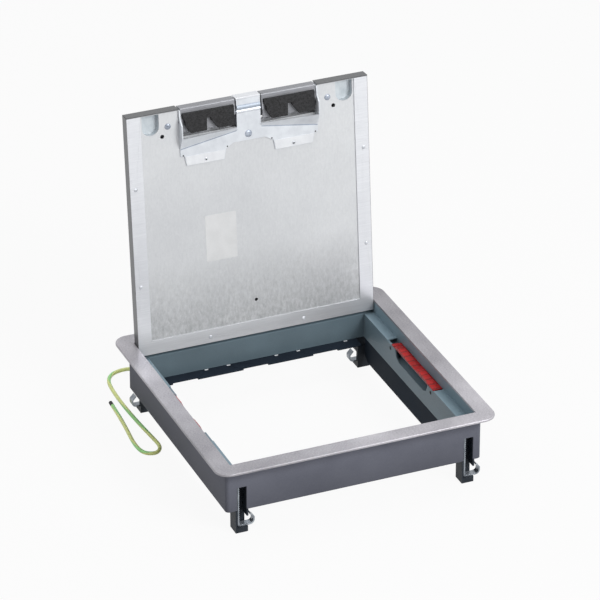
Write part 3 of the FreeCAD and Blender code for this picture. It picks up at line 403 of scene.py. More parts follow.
@dataclass(frozen=True)
class BrushedStainless:
    """Brushed stainless sheet: hairlines along the grain, drawn coarser than real to show.

    The folded edges get painted shade and are darker than the faces, except at the bridge, and
    painted shade darkens the sheet at the hinge. The side folds and the bridge are distances from
    the middle and the other two are heights, each as the millimetres between which the level
    changes.
    """

    name: str
    dark: str = "D3D5DA"
    pale: str = "E3E5E9"
    hairline: float = 0.35
    grain: tuple[float, float, float] = (60, 1, 1)
    fold: float = 0.22
    side_fold: tuple[float, float] = (130.9, 131.4)
    free_fold: tuple[float, float] = (327.9, 328.5)
    bridge: tuple[float, float] = (14.0, 17.0)
    hinge_shade_span: tuple[float, float] = (76.0, 96.0)

    def make(self) -> bpy.types.Material:
        """Builds the material.

        Returns:
            The finished material.
        """
        surface = Surface(self.name)
        hairs = surface.noise(self.hairline, self.grain, detail=3, roughness=0.6)
        cloud = surface.noise(45, detail=2)
        mixed = surface.sum((hairs, 0.8), (cloud, 0.2))
        colour = surface.tint(mixed, self.dark, self.pale, 0.34, 0.66)
        across = add(surface.tree, "ShaderNodeMath", {"operation": "ABSOLUTE"})
        surface.tree.links.new(surface.axis("X"), across.inputs[0])
        height = surface.axis("Z")
        edge = add(surface.tree, "ShaderNodeMath", {"operation": "MAXIMUM"})
        surface.tree.links.new(surface.spread(across.outputs[0], 1.0, 0.0, *self.bridge),
                               edge.inputs[0])
        surface.tree.links.new(surface.spread(height, 1.0, self.fold * 0.8, *self.free_fold),
                               edge.inputs[1])
        # Painted shade darkens the folded sides and the free edge, except at the bridge, and the
        # hinge end.
        for level in (surface.spread(across.outputs[0], 1.0, self.fold, *self.side_fold),
                      edge.outputs[0],
                      surface.spread(height, 0.68, 1.0, *self.hinge_shade_span)):
            colour = surface.dim(colour, level)
        rough = surface.spread(hairs, 0.3, 0.46)
        return surface.finish(hairs, 0.006, Base_Color=colour, Metallic=0.6, Roughness=rough)


@dataclass(frozen=True)
class Moulding:
    """Injection-moulded thermoplastic: spark-eroded grain and slightly shiny high spots, with
    painted shade in the grooves of any ribs.
    """

    name: str
    dark: str
    pale: str
    roughness: float = 0.45
    grain: float = 0.6
    ribs: float = 0.0
    gloss: float = 0.35

    def make(self) -> bpy.types.Material:
        """Builds the material.

        Returns:
            The finished material.
        """
        surface = Surface(self.name)
        pits = surface.noise(self.grain, detail=3, roughness=0.6)
        flow = surface.noise(14, detail=2)
        mixed = surface.sum((flow, 0.65), (pits, 0.35))
        colour = surface.tint(mixed, self.dark, self.pale, 0.35, 0.65)
        rough = surface.spread(mixed, self.roughness - 0.07, self.roughness + 0.1)
        if not self.ribs:
            return surface.finish(pits, 0.02, Base_Color=colour, Roughness=rough, IOR=1.5,
                                  Specular_IOR_Level=self.gloss)
        steps = surface.sum((surface.axis("Y"), 1 / self.ribs))
        saw = add(surface.tree, "ShaderNodeMath", {"operation": "PINGPONG"})
        surface.tree.links.new(steps, saw.inputs[0])
        saw.inputs[1].default_value = 0.5
        groove = surface.spread(saw.outputs[0], 0.0, 1.0, 0.02, 0.12)
        # Painted shade darkens the grooves between the ribs.
        colour = surface.dim(colour, surface.spread(groove, 0.35, 1.0, 0.0, 1.0))
        return surface.finish(groove, 0.3, Base_Color=colour, Roughness=rough, IOR=1.5,
                              Specular_IOR_Level=self.gloss)


@dataclass(frozen=True)
class ClosedCellFoam:
    """Closed-cell foam: coarse open skin, dull and nearly black, with cut cells at the faces."""

    name: str
    dark: str = "171718"
    pale: str = "303032"
    cell: float = 1.3

    def make(self) -> bpy.types.Material:
        """Builds the material.

        Returns:
            The finished material.
        """
        surface = Surface(self.name)
        cells = surface.cells(self.cell)
        lumps = surface.noise(2.4, detail=4, roughness=0.7)
        mixed = surface.sum((cells, 0.35), (lumps, 0.65))
        colour = surface.tint(mixed, self.dark, self.pale, 0.3, 0.68)
        return surface.finish(mixed, 0.35, Base_Color=colour, Roughness=0.85, IOR=1.45)


@dataclass(frozen=True)
class EarthInsulation:
    """Two-colour cable insulation: a yellow-green stripe that winds slowly round the green."""

    name: str
    green: str = "B0F09A"
    yellow: str = "EEF8A2"
    turns: float = 5.0

    def make(self) -> bpy.types.Material:
        """Builds the material.

        Returns:
            The finished material.
        """
        surface = Surface(self.name)
        split = add(surface.tree, "ShaderNodeSeparateXYZ", Vector=surface.places.outputs["UV"])
        phase = surface.sum((split.outputs["X"], self.turns), (split.outputs["Y"], 1.0))
        wrapped = add(surface.tree, "ShaderNodeMath", {"operation": "FRACT"})
        surface.tree.links.new(phase, wrapped.inputs[0])
        colour = surface.tint(wrapped.outputs[0], self.green, self.yellow, 0.0, 0.36, sharp=True)
        skin = surface.noise(0.8, detail=2)
        return surface.finish(skin, 0.01, Base_Color=colour, Roughness=0.42, IOR=1.53)


class Finishes:
    """All finishes of the box, made once and handed out by name."""

    def __init__(self) -> None:
        """Makes the materials."""
        self.by_name: dict[str, bpy.types.Material] = {}
        for finish in (
            # Ground and satin aluminium: pale grey, with a painted reflection that makes two
            # corners brighter than the others.
            SatinAluminium("satin_aluminium_trim", "86848A", "BDBBC0", stretch=(4, 1.2, 1),
                           painted_sheen=0.17),
            # Grey powder coat: even, nearly without shine, with painted shade that darkens it
            # towards the floor.
            CoatedSheet("grey_powder_coat", "5E606A", "696B75", gloss=0.04,
                        painted_shades=(("Z", 0.74, 1.0, 27, 58),)),
            # Blue-grey powder coat: cool and even, with painted shade at the far wall and painted
            # light that makes it pale on top.
            CoatedSheet("blue_grey_powder_coat", "65767F", "70828C", roughness=0.36, painted_shades=(
                ("Y", 1.0, 0.72, 116, 120.5), ("Z", 1.0, 1.45, 62, 65))),
            # Charcoal coat: a dark blue-black that makes the inside look deep.
            CoatedSheet("charcoal_coat", "1E252E", "272F39", roughness=0.55, gloss=0.04),
            # Bright zinc on flat sheet: a cool white with faint clouds.
            ZincPlate("bright_zinc_plate"),
            # Zinc on turned parts: bluer and darker than on sheet.
            ZincPlate("zinc_fastener", "747C8A", "BCC4D0", roughness=0.3),
            # Blackened steel: a dull head that is nearly black.
            ZincPlate("blackened_steel_screw", "101418", "20262C", roughness=0.5),
            # Bare steel rivets: a soft grey a little darker than the sheet round them.
            ZincPlate("steel_rivet", "A6AAB0", "D2D5DA", roughness=0.34),
            # Zinc on bent claws: a cloudy grey with a clear shine.
            ZincPlate("zinc_claw", "656C74", "ACB2B9", roughness=0.26, metallic=0.6),
            # Pressed zinc: a matt blue-grey cup with hardly a reflection.
            ZincPlate("pressed_zinc_recess", "AFB8BE", "C8CED2", roughness=0.5, metallic=0.2),
            # Painted shade along a bend: a narrow blue-grey line of darker zinc.
            ZincPlate("painted_bend_shade_zinc", "7F8A9C", "96A1B2", roughness=0.5, metallic=0.15),
            # Zinc on a rolled bead: matt and a shade darker than the flat sheet.
            ZincPlate("rolled_zinc_bead", "9AA5B3", "C2CAD4", roughness=0.5, metallic=0.2),
            # Zinc on the joggled tabs: pale, matt and even.
            ZincPlate("joggled_tab_zinc", "D3D5D9", "DDDFE2", roughness=0.5, metallic=0.2),
            # Galvanised plate: mottled pale grey, stained and darkened by painted shade towards
            # the hinge.
            GalvanisedSheet("galvanised_sheet"),
            # Brushed stainless borders: pale with fine lines across, with painted shade at their
            # folds and towards the hinge.
            BrushedStainless("brushed_stainless"),
            # Satin extruded aluminium: mid grey, drawn out along its length.
            SatinAluminium("satin_extrusion", "7A7C81", "98999E", roughness=0.45,
                           stretch=(30, 1, 1)),
            # Glass-filled nylon: dull charcoal with a fine moulded grain.
            Moulding("glass_filled_nylon", "1E2329", "2E333A", gloss=0.15),
            # Black nylon: nearly black, with a slight shine.
            Moulding("black_nylon", "101011", "1E1E20"),
            # Red nylon: a deep even red, ribbed for the thumb, with painted shade in the grooves.
            Moulding("red_nylon", "98100F", "B01616", roughness=0.42, ribs=8.6),
            # Closed-cell foam: black, dull and lumpy.
            ClosedCellFoam("black_foam"),
            # Wire insulation: a yellow-green stripe that winds round pale green.
            EarthInsulation("earth_wire_insulation"),
            # Label stock: matt pale grey without print.
            Moulding("blank_label_stock", "CACBCC", "D3D4D5", roughness=0.6, grain=1.2),
        ):
            self.by_name[finish.name] = finish.make()

    def __getitem__(self, name: str) -> bpy.types.Material:
        """Gives the material of that name."""
        return self.by_name[name]


def link(name: str, mesh: bpy.types.Mesh | bpy.types.Curve) -> bpy.types.Object:
    """Puts a mesh or curve in the scene as an object at the origin.

    Args:
        name: The object's name.
        mesh: Its mesh or curve.

    Returns:
        The new object.
    """
    made = bpy.data.objects.new(name, mesh)
    bpy.context.scene.collection.objects.link(made)
    return made


def paint(node: str, material: bpy.types.Material) -> None:
    """Gives a node that stays as it is a better material.

    Args:
        node: The node's name.
        material: Its finish.
    """
    item = frame["nodes"][node]
    if item.material_slots:
        item.material_slots[0].material = material
    else:
        item.data.materials.append(material)


def soften(node: str, body: str, material: bpy.types.Material, width: float,
           segments: int = 2, whole_walls: bool = False) -> bpy.types.Object:
    """Stands a copy of a node with rounded edges in the node's place.

    Args:
        node: The node to copy.
        body: The body that it rides on.
        material: Its finish.
        width: Width of the rounding in millimetres.
        segments: Steps of the rounding.
        whole_walls: Merges the triangles of upright walls, which else crease round a hole.

    Returns:
        The new piece.
    """
    mesh = frame["nodes"][node].data.copy()
    mesh.name = f"{node}_dressed"
    form = bmesh.new()
    form.from_mesh(mesh)
    bmesh.ops.remove_doubles(form, verts=form.verts, dist=WELD)
    if whole_walls:
        upright = [edge for edge in form.edges
                   if all(abs(face.normal.z) < UPRIGHT for face in edge.link_faces)]
        bmesh.ops.dissolve_limit(form, angle_limit=FLAT, edges=upright)
    for edge in form.edges:
        edge.smooth = len(edge.link_faces) == 2 and edge.calc_face_angle(0) < CREASE
    for face in form.faces:
        face.smooth = True
    form.to_mesh(mesh)
    form.free()
    mesh.materials.clear()
    mesh.materials.append(material)
    piece = link(f"{node}_dressed", mesh)
    bevel = piece.modifiers.new("rounding", "BEVEL")
    bevel.width = width * MM
    bevel.segments = segments
    bevel.limit_method = "ANGLE"
    bevel.angle_limit = CREASE
    bevel.miter_outer = "MITER_ARC"
    bevel.use_clamp_overlap = True
    weigh = piece.modifiers.new("normals", "WEIGHTED_NORMAL")
    weigh.keep_sharp = False
    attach(piece, body)
    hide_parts(node)
    return piece


@dataclass(frozen=True)
class LidPose:
    """Where a point of the closed lid lies while the lid stands open.

    Lid points are given as x from the middle, the distance behind the free edge and the height
    over the feet, in millimetres, with the lid closed.
    """

    half: float = 131.5

    def matrix(self) -> Matrix:
        """Gives the turn from the closed lid to the open one, in metres.

        Returns:
            The turn.
        """
        hinge = next(j for j in frame["joints"] if j["name"] == "lid_hinge")
        pivot = Vector(hinge["pos_m"])
        angle = -math.radians(hinge["range_deg"][1])
        turn = Matrix.Rotation(angle, 4, "X")
        return Matrix.Translation(pivot) @ turn @ Matrix.Translation(-pivot)

    def point(self, x: float, behind: float, height: float) -> Vector:
        """Gives a lid point in the open pose, in metres."""
        return self.matrix() @ (Vector((x, behind - self.half, height)) * MM)

    def facing(self) -> Vector:
        """Gives the outward direction of the lid's underside."""
        return (self.matrix().to_3x3() @ Vector((0, 0, -1))).normalized()


class Drive(Enum):
    """How a fastener's head is driven."""

    NONE = 0
    SLOT = 1
    CROSS = 2


@dataclass
class Fasteners:
    """A set of domed heads that stand on given points and look along given directions."""

    name: str
    body: str
    radius: float
    rise: float
    drive: Drive = Drive.NONE
    seed: int = 7
    segments: int = 32
    rings: int = 20
    slot_reach: float = 2.4  # times the radius, so that a slot runs out at both sides
    slot_width: float = 0.3  # times the radius
    slot_depth: float = 1.1  # times the rise, half of it below the crown
    crease: float = 35.0  # degrees

    def tree(self) -> bpy.types.NodeTree:
        """Builds the nodes: one domed head, plain, slotted or crossed, on every point.

        Returns:
            The node tree, with the head's sizes and its material as named inputs.
        """
        tree = bpy.data.node_groups.new(f"{self.name}_heads", "GeometryNodeTree")
        shape = tree.interface
        shape.new_socket("Geometry", in_out="INPUT", socket_type="NodeSocketGeometry")
        for label in ("Radius", "Rise", "Slot Width", "Slot Depth"):
            shape.new_socket(label, in_out="INPUT", socket_type="NodeSocketFloat")
        shape.new_socket("Material", in_out="INPUT", socket_type="NodeSocketMaterial")
        shape.new_socket("Geometry", in_out="OUTPUT", socket_type="NodeSocketGeometry")
        given = add(tree, "NodeGroupInput").outputs
        flat = add(tree, "ShaderNodeMath", {"operation": "DIVIDE"})
        tree.links.new(given["Rise"], flat.inputs[0])
        tree.links.new(given["Radius"], flat.inputs[1])
        squash = add(tree, "ShaderNodeCombineXYZ", X=1.0, Y=1.0, Z=flat.outputs[0])
        ball = add(tree, "GeometryNodeMeshUVSphere", Segments=self.segments, Rings=self.rings,
                   Radius=given["Radius"])
        dome = add(tree, "GeometryNodeTransform", Geometry=ball.outputs["Mesh"],
                   Scale=squash.outputs[0])
        long = add(tree, "ShaderNodeMath", {"operation": "MULTIPLY"})
        tree.links.new(given["Radius"], long.inputs[0])
        long.inputs[1].default_value = self.slot_reach
        size = add(tree, "ShaderNodeCombineXYZ", X=long.outputs[0], Y=given["Slot Width"],
                   Z=given["Slot Depth"])
        lift = add(tree, "ShaderNodeCombineXYZ", Z=given["Rise"])
        bar = add(tree, "GeometryNodeMeshCube", Size=size.outputs[0])
        bars = add(tree, "GeometryNodeJoinGeometry")
        tree.links.new(bar.outputs["Mesh"], bars.inputs[0])
        if self.drive is Drive.CROSS:
            second = add(tree, "GeometryNodeTransform", Geometry=bar.outputs["Mesh"],
                         Rotation=(0, 0, math.pi / 2))
            tree.links.new(second.outputs[0], bars.inputs[0])
        cutter = add(tree, "GeometryNodeTransform", Geometry=bars.outputs[0],
                     Translation=lift.outputs[0])
        cut = add(tree, "GeometryNodeMeshBoolean", {"operation": "DIFFERENCE"})
        tree.links.new(dome.outputs[0], cut.inputs["Mesh 1"])
        tree.links.new(cutter.outputs[0], cut.inputs["Mesh 2"])
        head = dome.outputs[0] if self.drive is Drive.NONE else cut.outputs["Mesh"]
        facing = add(tree, "GeometryNodeInputNamedAttribute", {"data_type": "FLOAT_VECTOR"},
                     Name="facing")
        aim = add(tree, "FunctionNodeAlignRotationToVector", {"axis": "Z"},
                  Vector=facing.outputs["Attribute"])
        placed = add(tree, "GeometryNodeInstanceOnPoints", Points=given["Geometry"],
                     Instance=head, Rotation=aim.outputs[0], Scale=(MM, MM, MM))
        angle = add(tree, "FunctionNodeRandomValue", {"data_type": "FLOAT"}, Seed=self.seed)
        angle.inputs[2].default_value = 0.0
        angle.inputs[3].default_value = math.pi
        spin = add(tree, "ShaderNodeCombineXYZ", Z=angle.outputs[1])
        turned = add(tree, "GeometryNodeRotateInstances", Instances=placed.outputs[0],
                     Rotation=spin.outputs[0])
        real = add(tree, "GeometryNodeRealizeInstances", Geometry=turned.outputs[0])
        shaded = add(tree, "GeometryNodeSetMaterial", Geometry=real.outputs[0],
                     Material=given["Material"])
        add(tree, "NodeGroupOutput", Geometry=shaded.outputs[0])
        return tree

    def build(self, spots: Sequence[tuple[Vector, Vector]], material: bpy.types.Material,
              nodes: Sequence[str] = ()) -> bpy.types.Object:
        """Builds the heads as one plain mesh.

        Args:
            spots: Each head's seat in metres and its outward direction.
            material: The finish of the heads.
            nodes: The nodes that the piece stands for.

        Returns:
            The finished piece.
        """
        seats = bpy.data.meshes.new(f"{self.name}_seats")
        seats.from_pydata([spot for spot, _ in spots], [], [])
        facing = seats.attributes.new("facing", "FLOAT_VECTOR", "POINT")
        for item, (_, direction) in zip(facing.data, spots):
            item.vector = direction
        host = link(f"{self.name}_seats", seats)
        heads = host.modifiers.new("heads", "NODES")
        heads.node_group = self.tree()
        values = {"Radius": self.radius, "Rise": self.rise,
                  "Slot Width": self.radius * self.slot_width,
                  "Slot Depth": self.rise * self.slot_depth, "Material": material}
        for socket in heads.node_group.interface.items_tree:
            if socket.in_out == "INPUT" and socket.name in values:
                heads[socket.identifier] = values[socket.name]
        graph = bpy.context.evaluated_depsgraph_get()
        mesh = bpy.data.meshes.new_from_object(host.evaluated_get(graph))
        mesh.name = self.name
        bpy.data.objects.remove(host)
        if not mesh.polygons:
            raise RuntimeError(f"{self.name} came out empty")
        mesh.polygons.foreach_set("use_smooth", [True] * len(mesh.polygons))
        mesh.set_sharp_from_angle(angle=math.radians(self.crease))
        piece = link(self.name, mesh)
        if not mesh.materials:
            mesh.materials.append(material)
        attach(piece, self.body)
        if nodes:
            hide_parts(*nodes)
        return piece


@dataclass
class FixedBox:
    """The box in the floor: trim, skirt, ledge frame, rails, posts and lock tracks.

    Sizes are in millimetres. Each slot is given by its place along the rail.
    """

    finishes: Finishes
    edge: float = 0.35
    trim_edge: float = 0.3
    thin_edge: float = 0.2
    screw_height: float = 58.0
    screw_near: float = 48.0
    screw_far: float = 52.2
    screw_seat: float = 120.9
    screw_radius: float = 2.0
    screw_rise: float = 0.65
    rail_top: float = 36.3
    rail_sheet: float = 1.45
    rail_slots: tuple[float, ...] = (-57.0, -32.3, 21.4, 46.1, 99.8)
    slot_wall: float = 120.45
    slot_half: float = 2.2
    rim_thick: float = 0.12
    rim_inset: float = 0.05

    def build(self) -> list[bpy.types.Object]:
        """Dresses every fixed piece.

        Returns:
            The dressed and added pieces.
        """
        trim = self.finishes["satin_aluminium_trim"]
        grey = self.finishes["grey_powder_coat"]
        blue = self.finishes["blue_grey_powder_coat"]
        dark = self.finishes["charcoal_coat"]
        nylon = self.finishes["glass_filled_nylon"]
        black = self.finishes["black_nylon"]
        metal = self.finishes["zinc_fastener"]
        pieces = [soften("trim_flange", "box", trim, self.trim_edge),
                  soften("outer_skirt", "box", grey, self.edge, whole_walls=True),
                  soften("ledge_frame", "box", blue, self.edge)]
        for side in ("left", "right"):
            pieces.append(soften(f"side_plate_{side}", "box", dark, self.edge))
            pieces.append(soften(f"lock_track_{side}", "box", blue, self.thin_edge))
            paint(f"hinge_bush_{side}", black)
            for end in ("front", "back"):
                pieces.append(soften(f"post_{end}_{side}", "box", nylon, self.edge))
        for end in ("front", "back"):
            pieces.append(soften(f"cross_rail_{end}", "box", dark, self.thin_edge))
        for node in ("earth_screw", "earth_nut", "earth_lug"):
            paint(node, metal)
        paint("wire_end_sleeve", black)
        pieces.append(self.track_screws(self.finishes["blackened_steel_screw"]))
        # Bright zinc strips paint the light seen at the rail slots.
        pieces.append(self.slot_light_rims(self.finishes["bright_zinc_plate"]))
        return pieces

    def slot_light_rims(self, light_finish: bpy.types.Material) -> bpy.types.Object:
        """Lines the far wall of every rail slot with a bright strip of painted light.

        Args:
            light_finish: The finish of the strips of painted light.

        Returns:
            All rims as one piece.
        """
        low, high = self.rail_top - self.rail_sheet, self.rail_top - self.rim_inset
        half = self.slot_half
        rim = ((-half, low), (half, low), (half, high), (-half, high))
        sides = ((0, 1, 2, 3), (7, 6, 5, 4), (0, 4, 5, 1), (1, 5, 6, 2), (2, 6, 7, 3),
                 (3, 7, 4, 0))
        corners = []
        faces = []
        for side in (1, -1):
            for centre in self.rail_slots:
                start = len(corners)
                for y in (self.slot_wall, self.slot_wall - self.rim_thick):
                    corners += [(side * (centre + x) * MM, side * y * MM, z * MM)
                                for x, z in rim]
                faces += [tuple(start + n for n in face) for face in sides]
        mesh = bpy.data.meshes.new("rail_slot_light_rims")
        mesh.from_pydata(corners, [], faces)
        mesh.materials.append(light_finish)
        rims = link("rail_slot_light_rims", mesh)
        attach(rims, "box")
        return rims

    def track_screws(self, metal: bpy.types.Material) -> bpy.types.Object:
        """Builds the slotted heads that hold the lock tracks.

        Args:
            metal: The finish of the heads.

        Returns:
            All four heads as one piece.
        """
        spots = []
        for side in (1, -1):
            for along in (self.screw_far * side, -self.screw_near * side):
                seat = Vector((self.screw_seat * side, along, self.screw_height)) * MM
                spots.append((seat, Vector((-side, 0, 0))))
        heads = Fasteners("track_screw_heads", "box", self.screw_radius, self.screw_rise,
                          Drive.SLOT)
        return heads.build(spots, metal, ["track_screws"])


@dataclass
class Claws:
    """The four zinc-plated clamp claws, with the rounding of their edges in millimetres."""

    finishes: Finishes
    edge: float = 0.18

    def build(self) -> list[bpy.types.Object]:
        """Dresses each claw on its own body.

        Returns:
            The four claws.
        """
        zinc = self.finishes["zinc_claw"]
        corners = [f"claw_{end}_{side}" for end in ("front", "back")
                   for side in ("left", "right")]
        return [soften(corner, corner, zinc, self.edge) for corner in corners]


@dataclass
class LockSlides:
    """The red grips that slide in the pockets at both sides."""

    finishes: Finishes
    edge: float = 0.7
    edge_steps: int = 3

    def build(self) -> list[bpy.types.Object]:
        """Dresses the four grips."""
        red = self.finishes["red_nylon"]
        return [soften(f"lock_grip_{side}_{end}", f"lock_slide_{side}", red, self.edge,
                       self.edge_steps)
                for side in ("left", "right") for end in ("front", "back")]


@dataclass
class Lid:
    """The lid with its borders, base plate, outlet bracket and fasteners.

    Sizes are in millimetres. Pairs are x and the distance behind the free edge, and a third
    number is the height over the feet. Outlines are those of the right-hand piece.
    """

    finishes: Finishes
    pose: LidPose
    under: float = 67.0
    plate: float = 68.2
    depth: float = 263.0
    label_x: float = -35.0
    label_y: float = 147.5
    label_size: tuple[float, float] = (34.0, 51.0)
    label_thick: float = 0.18
    label_corner: float = 1.5
    shell_edge: float = 0.35
    plate_edge: float = 0.15
    thin_edge: float = 0.2
    block_edge: float = 0.3
    border_rivet_x: float = 125.2
    border_rivets: tuple[float, float] = (78.8, 186.0)
    hinge_rivet_x: float = 52.0
    hinge_rivet_inset: float = 6.3
    tab_rivet: tuple[float, float] = (48.0, 59.0)
    side_screw: tuple[float, float] = (87.2, 17.2)
    pivot_screw: tuple[float, float] = (-1.0, 40.1)
    tab_outline: tuple[tuple[float, float], ...] = (
        (70.2, 52.9), (26.8, 52.9), (28.5, 62.6), (68.7, 62.6))
    # Strips of darker zinc that paint the shade along the bends.
    bend_shade_outline: tuple[tuple[float, float], ...] = (
        (75, 43.5), (13.6, 34.0), (13.6, 35.1), (75, 44.7))
    seam_outline: tuple[tuple[float, float], ...] = (
        (117.4, 247.9), (131.1, 261.6), (130.1, 262.6), (116.4, 248.9))
    tab_thick: float = 0.25
    tab_corner: float = 0.8
    bend_shade_thick: float = 0.12
    seam_thick: float = 0.06
    corner_steps: int = 5
    # Black dots of painted shade where the relief holes and a rivet's bore look dark.
    hole_shade_dots: tuple[tuple[float, float, float], ...] = (
        (72.4, 51.3, 67.0), (24.4, 49.9, 67.0), (48.0, 59.3, 66.2))
    bead_half: float = 12.7
    bead_radius: float = 3.0
    bead_behind: float = 10.4
    bead_height: float = 68.5
    bead_steps: int = 12
    bead_crease: float = 40.0

    def build(self) -> list[bpy.types.Object]:
        """Dresses the lid's pieces and adds its fasteners and blank label.

        Returns:
            The dressed and added pieces.
        """
        steel = self.finishes["brushed_stainless"]
        sheet = self.finishes["galvanised_sheet"]
        zinc = self.finishes["bright_zinc_plate"]
        black = self.finishes["black_nylon"]
        metal = self.finishes["zinc_fastener"]
        cup = self.finishes["pressed_zinc_recess"]
        pieces = [soften("lid_shell", "lid", steel, self.shell_edge),
                  soften("lid_base_plate", "lid", sheet, self.plate_edge, whole_walls=True),
                  soften("outlet_bracket", "lid", zinc, self.thin_edge)]
        for side in ("left", "right"):
            pieces.append(soften(f"finger_cup_{side}", "lid", cup, self.thin_edge))
            pieces.append(soften(f"lid_hinge_block_{side}", "lid", black, self.block_edge))
        paint("lid_hinge_pins", metal)
        paint("flap_pins", metal)
        pieces += self.fasteners(metal)
        pieces.append(self.label(self.finishes["blank_label_stock"]))
        pieces += self.bracket_trim()
        pieces.append(self.bead())
        return pieces

    def fasteners(self, metal: bpy.types.Material) -> list[bpy.types.Object]:
        """Builds the rivets of the borders and tabs and the cross-recess screws.

        Args:
            metal: The finish of the screws.

        Returns:
            The rivets, the two outer screws and the pivot screw.
        """
        facing = self.pose.facing()
        rivets = [(side * self.border_rivet_x, behind) for side in (-1, 1)
                  for behind in self.border_rivets]
        hinge_row = self.depth - self.hinge_rivet_inset
        rivets += [(side * self.hinge_rivet_x, hinge_row) for side in (-1, 1)]
        rivets += [(side * self.tab_rivet[0], self.tab_rivet[1]) for side in (-1, 1)]
        spots = [(self.pose.point(x, behind, self.under), facing) for x, behind in rivets]
        heads = Fasteners("lid_rivet_heads", "lid", radius=2.0, rise=0.85)
        made = [heads.build(spots, self.finishes["steel_rivet"], ["lid_rivets"])]
        small = [(self.pose.point(side * self.side_screw[0], self.side_screw[1], self.plate),
                  facing) for side in (-1, 1)]
        screws = Fasteners("lid_screw_heads", "lid", radius=3.3, rise=1.5, drive=Drive.CROSS,
                           seed=3)
        made.append(screws.build(small, metal, ["lid_screws"]))
        centre = [(self.pose.point(*self.pivot_screw, self.under), facing)]
        pivot = Fasteners("bracket_screw_head", "lid", radius=3.9, rise=1.5, drive=Drive.CROSS,
                          seed=5)
        made.append(pivot.build(centre, metal))
        return made

    def panel(self, name: str, outline: Sequence[tuple[float, float]], height: float,
              thick: float, material: bpy.types.Material, corner: float = 0.0
              ) -> bpy.types.Object:
        """Builds a thin sheet that lies on the lid's underside.

        Args:
            name: The piece's name.
            outline: Corners as x from the middle and the distance behind the free edge.
            height: Height of the face that carries it, with the lid closed.
            thick: Thickness in millimetres.
            material: Its finish.
            corner: Radius of its corners in millimetres.

        Returns:
            The new piece.
        """
        form = bmesh.new()
        flat = form.faces.new([form.verts.new(self.pose.point(x, behind, height))
                               for x, behind in outline])
        if corner:
            bmesh.ops.bevel(form, geom=list(form.verts), offset=corner * MM,
                            segments=self.corner_steps, profile=0.5, affect="VERTICES")
            flat = form.faces[:][0]
        lifted = bmesh.ops.extrude_face_region(form, geom=[flat])
        raised = [v for v in lifted["geom"] if isinstance(v, bmesh.types.BMVert)]
        bmesh.ops.translate(form, verts=raised, vec=self.pose.facing() * thick * MM)
        bmesh.ops.recalc_face_normals(form, faces=form.faces)
        mesh = bpy.data.meshes.new(name)
        form.to_mesh(mesh)
        form.free()
        mesh.materials.append(material)
        piece = link(name, mesh)
        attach(piece, "lid")
        return piece

    def label(self, stock: bpy.types.Material) -> bpy.types.Object:
        """Builds the blank label on the base plate.

        Args:
            stock: The label's finish.

        Returns:
            The label.
        """
        wide, tall = (size / 2 for size in self.label_size)
        x, y = self.label_x, self.label_y
        outline = [(x - wide, y - tall), (x + wide, y - tall), (x + wide, y + tall),
                   (x - wide, y + tall)]
        return self.panel("blank_label", outline, self.plate, self.label_thick, stock,
                          self.label_corner)

    def bracket_trim(self) -> list[bpy.types.Object]:
        """Adds the bracket's joggled tabs, painted shade along its bend lines, black dots of
        painted shade in its relief holes and on a rivet's bore, and the mitre seams.

        Returns:
            The added pieces.
        """
        tab = self.finishes["joggled_tab_zinc"]
        line = self.finishes["painted_bend_shade_zinc"]
        steel = self.finishes["brushed_stainless"]
        black = self.finishes["black_nylon"]
        facing = self.pose.facing()
        made = []
        dots = []
        for side, name in ((-1, "left"), (1, "right")):
            # The bend strips are painted shade along the bends.
            for piece, shape, thick, material, corner in (
                    ("bracket_tab", self.tab_outline, self.tab_thick, tab, self.tab_corner),
                    ("painted_bend_shade", self.bend_shade_outline, self.bend_shade_thick, line, 0.0),
                    ("mitre_seam", self.seam_outline, self.seam_thick, steel, 0.0)):
                outline = [(side * x, behind) for x, behind in shape]
                made.append(self.panel(f"{piece}_{name}", outline, self.under, thick, material,
                                       corner))
            dots += [(self.pose.point(side * x, behind, height), facing)
                     for x, behind, height in self.hole_shade_dots]
        # Black domes that paint the shade inside the relief holes and the rivet's bore.
        hole_shades = Fasteners("bracket_hole_shade_dots", "lid", radius=0.8, rise=0.3)
        made.append(hole_shades.build(dots, black))
        return made

    def bead(self) -> bpy.types.Object:
        """Builds the rolled bead that marks the flaps' knuckle on the bridge.

        Returns:
            The bead.
        """
        form = bmesh.new()
        rows = []
        for step in range(self.bead_steps + 1):
            turn = math.pi * (step / self.bead_steps)
            behind = self.bead_behind - self.bead_radius * math.cos(turn)
            height = self.bead_height - self.bead_radius * math.sin(turn)
            rows.append([form.verts.new(self.pose.point(x, behind, height))
                         for x in (-self.bead_half, self.bead_half)])
        for low, high in zip(rows, rows[1:]):
            form.faces.new((low[0], low[1], high[1], high[0]))
        for end in (0, 1):
            form.faces.new([row[end] for row in rows])
        form.faces.new((rows[0][0], rows[-1][0], rows[-1][1], rows[0][1]))
        bmesh.ops.recalc_face_normals(form, faces=form.faces)
        for face in form.faces:
            face.smooth = len(face.verts) == 4
        mesh = bpy.data.meshes.new("bridge_bead")
        form.to_mesh(mesh)
        form.free()
        mesh.set_sharp_from_angle(angle=math.radians(self.bead_crease))
        mesh.materials.append(self.finishes["rolled_zinc_bead"])
        bead = link("bridge_bead", mesh)
        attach(bead, "lid")
        return bead


@dataclass
class Flaps:
    """The two outlet flaps with their foam, with the rounding of their edges in millimetres."""

    finishes: Finishes
    edge: float = 0.25
    foam_edge: float = 0.5
    foam_steps: int = 3

    def build(self) -> list[bpy.types.Object]:
        """Dresses both flaps and their foam blocks.

        Returns:
            The flaps and foam blocks.
        """
        extrusion = self.finishes["satin_extrusion"]
        foam = self.finishes["black_foam"]
        made = []
        for side in ("left", "right"):
            body = f"flap_{side}"
            made.append(soften(body, body, extrusion, self.edge))
            made.append(soften(f"flap_foam_{side}", body, foam, self.foam_edge,
                               self.foam_steps))
        return made


